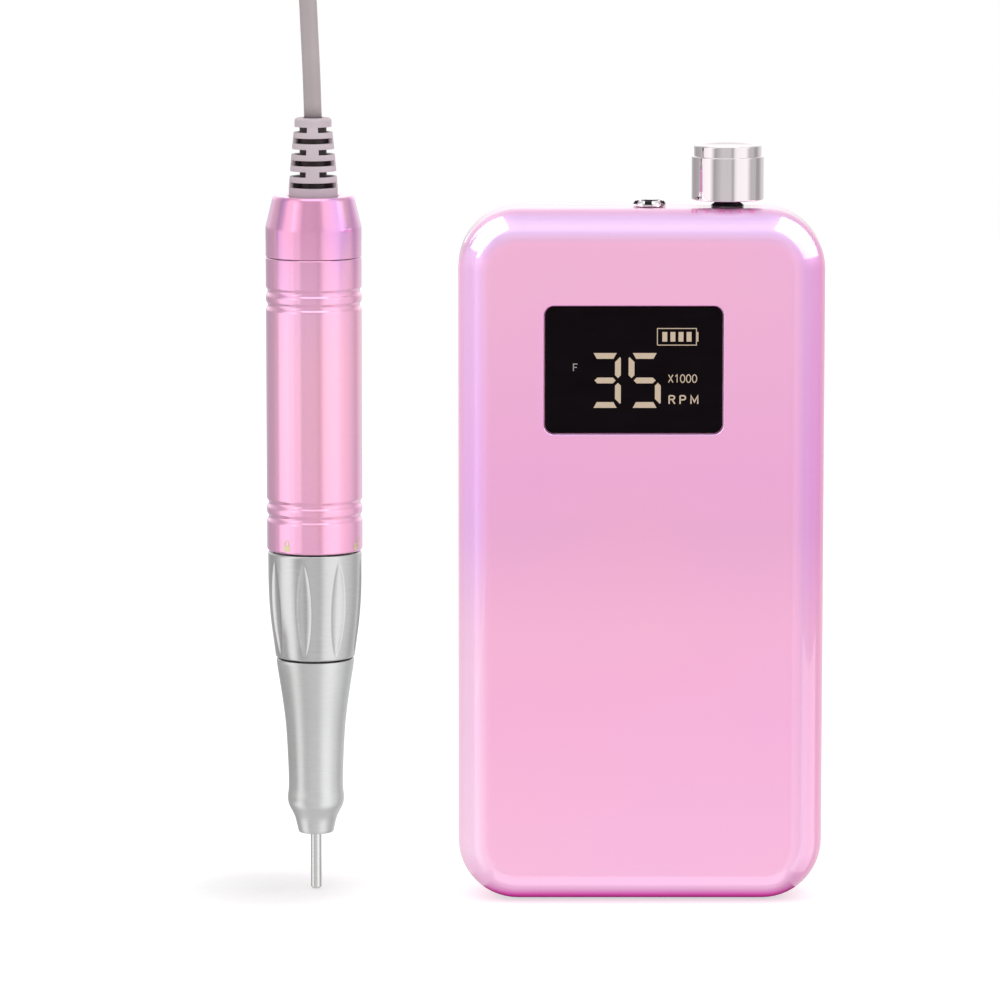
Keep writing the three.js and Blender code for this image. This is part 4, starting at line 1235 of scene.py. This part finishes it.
def hand_piece(name, profile, body, material, replaces, closed=True, segments=TURNED,
               reach=None, **dressing):
    """A piece turned about the handpiece's axis."""
    shape = revolve(profile, segments, HAND, reach, closed)
    dress(new_object(name, shape), body, material, replaces, **dressing)


def build_pin():
    profile = rounded([(0, 0), (0.9, 0), (1.175, 0.3, 0.1), (1.175, 39.7, 0.1), (0.9, 40), (0, 40)])
    hand_piece("pin_blank", profile, "pin", "pin_steel", "blank_pin", False, 40, slot="steel")


def build_nose():
    outside = through([
        (3.85, 12.85), (4.15, 14.2), (4.6, 15.9), (5.2, 17.2), (5.85, 18.5), (6.08, 19.5),
        (6.1, 20.6), (5.98, 21.7), (5.9, 22.9), (5.91, 25), (6.0, 27.8), (6.18, 31.8),
        (6.43, 35.8), (6.72, 38.6), (7.06, 41.3), (7.46, 44), (7.88, 46.7), (8.24, 49),
        (8.42, 50.5),
    ], 3)
    profile = [(2.7, 16.3), (2.7, 12.7), (2.95, 12.46), (3.5, 12.46), (3.72, 12.55)]
    profile.extend(tuple(p) for p in outside)
    profile.extend([(8.38, 50.85), (8.25, 50.95), (5.3, 50.95), (5.25, 50.8), (5.25, 23), (3.9, 18)])
    hand_piece("nose", profile, "handpiece", "satin_steel", "nose_cone")


def flute_reach(angle, radius, z):
    """Radius of the twist ring's skin, dished by eight leaf-shaped flutes."""
    along = (z - FLUTE_MIDDLE) / FLUTE_HALF_LENGTH
    if radius < 8.0 or abs(along) > 1:
        return radius
    depth = 0.0
    first = math.radians(-90 - 11)
    narrowing = (1 - along * along) ** 0.75
    half = FLUTE_HALF_WIDTH * narrowing
    for i in range(FLUTES):
        middle = first + math.tau * i / FLUTES
        turn = (angle - middle + math.pi) % math.tau - math.pi
        across = radius * turn + 0.25
        if abs(turn) > 0.4 or half < 1e-3 or abs(across) > half:
            continue
        share = across / half
        dish = 1 - abs(share) ** 2.2
        bias = lerp(1.0, 0.75, (share + 1) / 2)
        depth = max(depth, FLUTE_DEPTH * dish * bias * narrowing)
    return radius - depth


def build_twist_ring():
    outside = through([
        (8.62, 51.75), (8.85, 53.6), (9.14, 55.8), (9.46, 58.2), (9.74, 60.9), (9.94, 63.6),
        (10.06, 66.4), (10.11, 69), (10.12, 71.5), (10.12, 74.0),
    ], 9)
    profile = [(7.6, 74.3), (7.6, 51.45), (7.75, 51.35), (8.4, 51.35), (8.56, 51.5)]
    profile.extend(tuple(p) for p in outside)
    profile.extend([(10.08, 74.25), (9.95, 74.4), (7.7, 74.4)])
    hand_piece("ring_twist", profile, "twist_ring", "ring_steel", "twist_ring", segments=360,
               reach=flute_reach, slot="chrome", sharp=40)


def build_body_tube():
    radius = BODY_RADIUS
    profile = [(9.0, 74.8), (10.0, 74.8), (10.12, 74.85), (10.3, 75.05), (radius, 75.35)]
    for z in GROOVES:
        steps = 8
        profile.append((radius, z - 1.25))
        for k in range(steps + 1):
            share = k / steps * 2 - 1
            profile.append((radius - 0.42 * (1 - share * share) ** 1.5, z + share * 0.95))
        profile.append((radius, z + 1.25))
    profile.extend([(radius, 138.2), (radius - 0.1, 138.34), (9.0, 138.34)])
    hand_piece("body_pearl", profile, "handpiece", "pearl_hand", "body_tube", slot="pink_pearl")


def build_tail_cap():
    radius = BODY_RADIUS
    profile = [(9.0, 138.5), (radius - 0.1, 138.5), (radius, 138.64)]
    profile.extend([(radius, 144.2), (radius, 144.7), (10.3, 145.05), (10.2, 145.45)])
    profile.extend([(8.92, 150.7), (8.8, 151.05), (8.62, 151.4), (8.35, 151.6)])
    profile.extend([(6.0, 151.6), (5.75, 151.5), (5.6, 151.2), (5.6, 149.3), (7.9, 149.3),
                    (9.0, 144.5)])
    hand_piece("cap_pearl", profile, "handpiece", "pearl_hand", "tail_cap", slot="pink_pearl",
               sharp=30)


def sector(inner, outer, low, high, start, end, steps=20):
    """A block bent round the handpiece's axis."""
    loops = []
    for k in range(steps + 1):
        angle = math.radians(lerp(start, end, k / steps))
        loop = []
        for radius, z in ((inner, low), (outer, low), (outer, high), (inner, high)):
            loop.append((HAND[0] + radius * math.cos(angle), HAND[1] + radius * math.sin(angle), z))
        loops.append(loop)
    return lofted(loops, cap=True)


def build_boot():
    """The ribbed boot: six slots in turn at the front and back, and at the sides."""
    bore, low, high = 2.15, 147, 168.3
    profile = rounded([
        (bore, low), (BOOT_FOOT[0], low), (*BOOT_FOOT, 0.2), (5.0, 156.5), (4.6, 161.2),
        (4.12, 165.8), (*BOOT_NECK, 0.2), (BOOT_NECK[0], 167.9, 0.4), (3.6, high, 0.3),
        (bore, high), (bore, low),
    ])
    boot = new_object("boot", revolve(profile, 96, HAND))
    cutters = []
    pitch = 2.375
    half = 0.58
    web = 17
    for level in range(6):
        z = 153.95 + level * pitch
        middle = 90 if level % 2 == 0 else 0
        for side in (middle, middle + 180):
            cutters.append(sector(2.9, 7, z - half, z + half, side - 90 + web, side + 90 - web))
    carve(boot, cutters)
    soften_edges(boot, 0.22, 50, 3)
    dress(boot, "handpiece", "boot_grey", "strain_relief", slot="cord_grey")


def on_skin(shape, degrees, radius):
    """Wraps a flat shape in (x, z) round the handpiece, centred at an angle from the front."""
    verts = []
    for x, y, z in shape[0]:
        angle = math.radians(degrees - 90) + x / radius
        verts.append((HAND[0] + (radius - y) * math.cos(angle),
                      HAND[1] + (radius - y) * math.sin(angle), z))
    return verts, shape[1]


def padlock(opened):
    """A plain padlock mark: a square body under a bow."""
    low, high = -0.035, 0.02
    body = prism(rounded_outline(1.7, 1.35, 0.2, (0, 76.1), 3), low, high)
    shift = 0.75 if opened else 0.0
    bow = [(-0.5 + shift, 76.8), (-0.5 + shift, 77.3), *arc(shift, 77.3, 0.5, 0.5, 180, 0, 8)]
    bow.append((0.5 + shift, 77.3 if opened else 76.8))
    return several([body, stroke(bow, 0.24, low, high)])


def build_lock_marks():
    shapes = [on_skin(padlock(False), -34, BODY_RADIUS), on_skin(padlock(True), 61, BODY_RADIUS)]
    marks = new_object("lock_marks", several(shapes))
    dress(marks, "handpiece", "print_pale", slot="pink_pearl", weighted=False)


def build_collet():
    """The collet's open end, in three jaws round the pin."""
    profile = rounded([
        (1.28, 24), (1.28, 13.35, 0.1), (2.15, 13.3, 0.15), (2.4, 13.7, 0.1), (2.4, 14.6, 0.2),
        (1.9, 16.2), (1.9, 24), (1.28, 24),
    ])
    jaws = new_object("collet_jaws", revolve(profile, 60, HAND))
    slit = block((0.9, 4), (12.5, 23), (-0.15, 0.15))
    centre = Matrix.Translation((*HAND, 0))
    turns = [centre @ Matrix.Rotation(math.radians(angle), 4, "Z") for angle in (0, 120, 240)]
    carve(jaws, [moved(slit, turn) for turn in turns])
    dress(jaws, "collet", "steel")


build_pin()
build_collet()
build_nose()
build_twist_ring()
build_body_tube()
build_tail_cap()
build_boot()
build_lock_marks()

# -------------------------------------------------------------- floor and light


# Middle and reach of the soft shade on the floor, in metres.
SHADE_MIDDLE = (-0.08, 0.004)
SHADE_REACH = 0.031


def paper():
    """White paper, with a faint soft shade round the handpiece's foot."""
    shader = Shader("paper")
    away = shader.away_from(SHADE_MIDDLE, SHADE_REACH)
    soft = shader.ramp(away, [(0.05, rgb(224, 224, 224)), (0.45, rgb(233, 233, 233)), (1.0, WHITE)])
    grain = shader.ramp(shader.noise(500, 3.0), [(0.3, rgb(190, 190, 190)), (0.7, rgb(194, 194, 194))])
    shader.set(Base_Color=shader.times(grain, soft), Emission_Color=soft)
    shader.set(Roughness=0.85, Specular_IOR_Level=0.2, Emission_Strength=0.6)
    return shader.material


def hidden_from(piece, *rays):
    for ray in rays:
        setattr(piece, f"visible_{ray}", False)


def build_floor():
    side = 3.0
    steps = 6
    edges = [side * (i / steps - 0.5) / MM for i in range(steps + 1)]
    verts = [(x, y, 0) for x in edges for y in edges]
    faces = []
    for i in range(steps):
        for j in range(steps):
            a = i * (steps + 1) + j
            faces.append((a, a + steps + 1, a + steps + 2, a + 1))
    floor = new_object("floor", (verts, faces))
    floor.location.z = -0.0002
    floor.data.materials.append(paper())
    hidden_from(floor, "glossy", "diffuse", "shadow")


def softbox(name, azimuth, elevation, distance, width, height, power, target):
    """A rectangular lamp facing the object. Azimuth 0 is in front, 90 to the right."""
    light = bpy.data.lights.new(name, "AREA")
    light.shape = "RECTANGLE"
    light.size = width
    light.size_y = height
    light.energy = power
    lamp = bpy.data.objects.new(name, light)
    bpy.context.scene.collection.objects.link(lamp)
    a = math.radians(azimuth)
    e = math.radians(elevation)
    out = Vector((math.sin(a) * math.cos(e), -math.cos(a) * math.cos(e), math.sin(e)))
    lamp.location = Vector(target) + out * distance
    lamp.rotation_mode = "QUATERNION"
    lamp.rotation_quaternion = (-out).to_track_quat("-Z", "Y")
    return lamp


# The studio round the object, as (degrees from the front, brightness): two tall white panels
# with darker gaps beside them. Low is what upright faces mirror; high is above the horizon.
STUDIO_LOW = [
    (-180, 0.7), (-152, 0.6), (-142, 0.46), (-110, 0.55), (-97, 0.8), (-88, 1.3), (-62, 1.4),
    (-54, 1.0), (-46, 0.5), (-36, 0.62), (-20, 0.8), (8, 0.8), (13, 0.58), (17, 0.64), (22, 1.1),
    (30, 1.3), (62, 1.35), (71, 1.0), (77, 0.7), (98, 0.68), (104, 0.48), (118, 0.48),
    (132, 0.8), (150, 0.9), (180, 0.7),
]
STUDIO_HIGH = [
    (-180, 1.3), (-150, 1.2), (-125, 0.75), (-104, 0.6), (-84, 0.75), (-74, 1.35), (-50, 1.4),
    (-38, 0.62), (-12, 0.76), (20, 0.62), (30, 1.35), (78, 1.5), (88, 0.8), (108, 0.62),
    (125, 0.7), (150, 1.2), (180, 1.3),
]
STUDIO_TINT = (1.0, 0.965, 0.98)
STUDIO_TOP = (0.95, 0.95, 0.97, 1)
STUDIO_DEEP = (0.74, 0.71, 0.72, 1)


def studio_ramp(tree, turn, studio):
    """The studio's brightness by direction."""
    stops = []
    for degrees, value in studio:
        stops.append((degrees / 360 + 0.5, (*(value / 2 * c for c in STUDIO_TINT), 1)))
    return tree.times(tree.ramp(turn, stops), (2.0, 2.0, 2.0, 1.0))


def build_world():
    """White behind the object, and the studio round it for what lights and reflects in it."""
    world = bpy.data.worlds.new("studio")
    world.use_nodes = True
    world.node_tree.nodes.clear()
    tree = Tree(world.node_tree)
    axes = tree.axes("Generated")
    angle = tree.maths("ARCTAN2", axes["X"], tree.maths("MULTIPLY", axes["Y"], -1.0))
    turn = tree.maths("ADD", tree.maths("DIVIDE", angle, math.tau), 0.5)
    level = axes["Z"]
    around = tree.mix(tree.share(level, -0.08, 0.1), studio_ramp(tree, turn, STUDIO_LOW),
                      studio_ramp(tree, turn, STUDIO_HIGH))
    around = tree.mix(tree.share(level, 0.62, 0.8), around, STUDIO_TOP)
    around = tree.mix(tree.share(level, -0.55, -0.85), around, STUDIO_DEEP)
    fill = tree.node("ShaderNodeBackground", around, 1.0)
    seen = tree.node("ShaderNodeBackground", (1.0, 1.0, 1.0, 1.0), 1.0)
    path = tree.node("ShaderNodeLightPath")
    mix = tree.node("ShaderNodeMixShader", path.outputs["Is Camera Ray"], fill.outputs[0],
                    seen.outputs[0])
    tree.node("ShaderNodeOutputWorld", mix.outputs[0])
    bpy.context.scene.world = world


# What lamps face, in metres: the middle of everything, and of the box.
MIDDLE = (-0.03, 0, 0.09)
BOX_MIDDLE = (0, 0, 0.09)

# Panels that shine in some pieces alone: name, azimuth, elevation, distance, width, height, power,
# colour, and the pieces.
LACQUER = ("shell_front", "shell_back")
PEARL_TUBE = ("body_pearl", "cap_pearl")
PANELS = [
    ("panel_corner_left", -86, 44, 0.8, 1.0, 0.9, 19.0, (1.0, 1.0, 1.0), LACQUER),
    ("panel_corner_right", 84, 42, 0.8, 1.0, 0.9, 19.0, (1.0, 1.0, 1.0), LACQUER),
    ("panel_over", 0, 52, 0.7, 0.5, 0.55, 0.8, (0.96, 0.9, 1.0), LACQUER),
    ("panel_side_left", -78, 0, 0.6, 1.4, 0.3, 0.8, (1.0, 0.88, 1.0), LACQUER),
    ("panel_back_left", -138, -8, 0.6, 0.6, 0.45, 1.0, (1.0, 0.9, 1.0), LACQUER),
    ("panel_low_left", -80, -32, 0.62, 1.3, 0.42, 1.3, (1.0, 0.84, 0.88), LACQUER),
    ("panel_low_right", 78, -31, 0.62, 0.6, 0.42, 1.1, (1.0, 0.9, 0.9), LACQUER),
    ("panel_under", 0, -61, 0.6, 0.6, 0.32, 1.0, (1.0, 0.8, 0.9), LACQUER),
    ("panel_tube_left", -46, 0, 0.8, 0.32, 0.9, 0.45, (1.0, 0.97, 0.98), PEARL_TUBE),
    ("panel_tube_right", 82, 0, 0.8, 0.32, 0.9, 0.4, (1.0, 0.97, 0.98), PEARL_TUBE),
]


def build_panels():
    for name, azimuth, elevation, distance, width, height, power, colour, pieces in PANELS:
        lit_pieces = bpy.data.collections.new(name)
        for piece in pieces:
            lit_pieces.objects.link(bpy.data.objects[piece])
        lamp = softbox(name, azimuth, elevation, distance, width, height, power, BOX_MIDDLE)
        lamp.data.color = colour
        lamp.data.use_shadow = False
        lamp.visible_diffuse = False
        lamp.light_linking.receiver_collection = lit_pieces


def reflected_card(name, corners, stops, axis, start, end):
    """A glowing card only reflections see, shaded along one axis between two places in metres."""
    card = new_object(name, (corners, [(0, 1, 2, 3)]))
    shader = Shader(name)
    tone = shader.ramp(shader.share(shader.axes()[axis], start, end), stops)
    shader.set(Emission_Color=tone)
    shader.set(Base_Color=(0, 0, 0, 1), Specular_IOR_Level=0.0, Emission_Strength=1.0)
    card.data.materials.append(shader.material)
    hidden_from(card, "camera", "diffuse", "shadow", "transmission")


def build_cards():
    """One white card by the box's side for the handpiece's reflections, and a dark one under the box,
    a painted dark reflection along the box's foot.
    """
    x = -40.2
    side = [(x, -13, 1), (x, 13, 1), (x, 13, 143), (x, -13, 143)]
    reflected_card("white_card", side, [(0.0, (1.1, 1.06, 1.08, 1)), (0.55, (0.88, 0.85, 0.87, 1)),
                                        (1.0, (0.6, 0.58, 0.59, 1))], "Y", -0.0125, 0.0125)
    z = -0.1
    under = [(-35, -10.5, z), (35, -10.5, z), (35, 12, z), (-35, 12, z)]
    reflected_card("dark_card", under, [(0.0, (0.16, 0.03, 0.12, 1)), (1.0, (0.05, 0.01, 0.04, 1))],
                   "Y", -0.0105, 0.0)


build_floor()
build_world()
softbox("top_box", 0, 70, 1.0, 1.0, 0.7, 2.0, MIDDLE)
build_panels()
build_cards()
bpy.context.scene.view_settings.view_transform = "Standard"
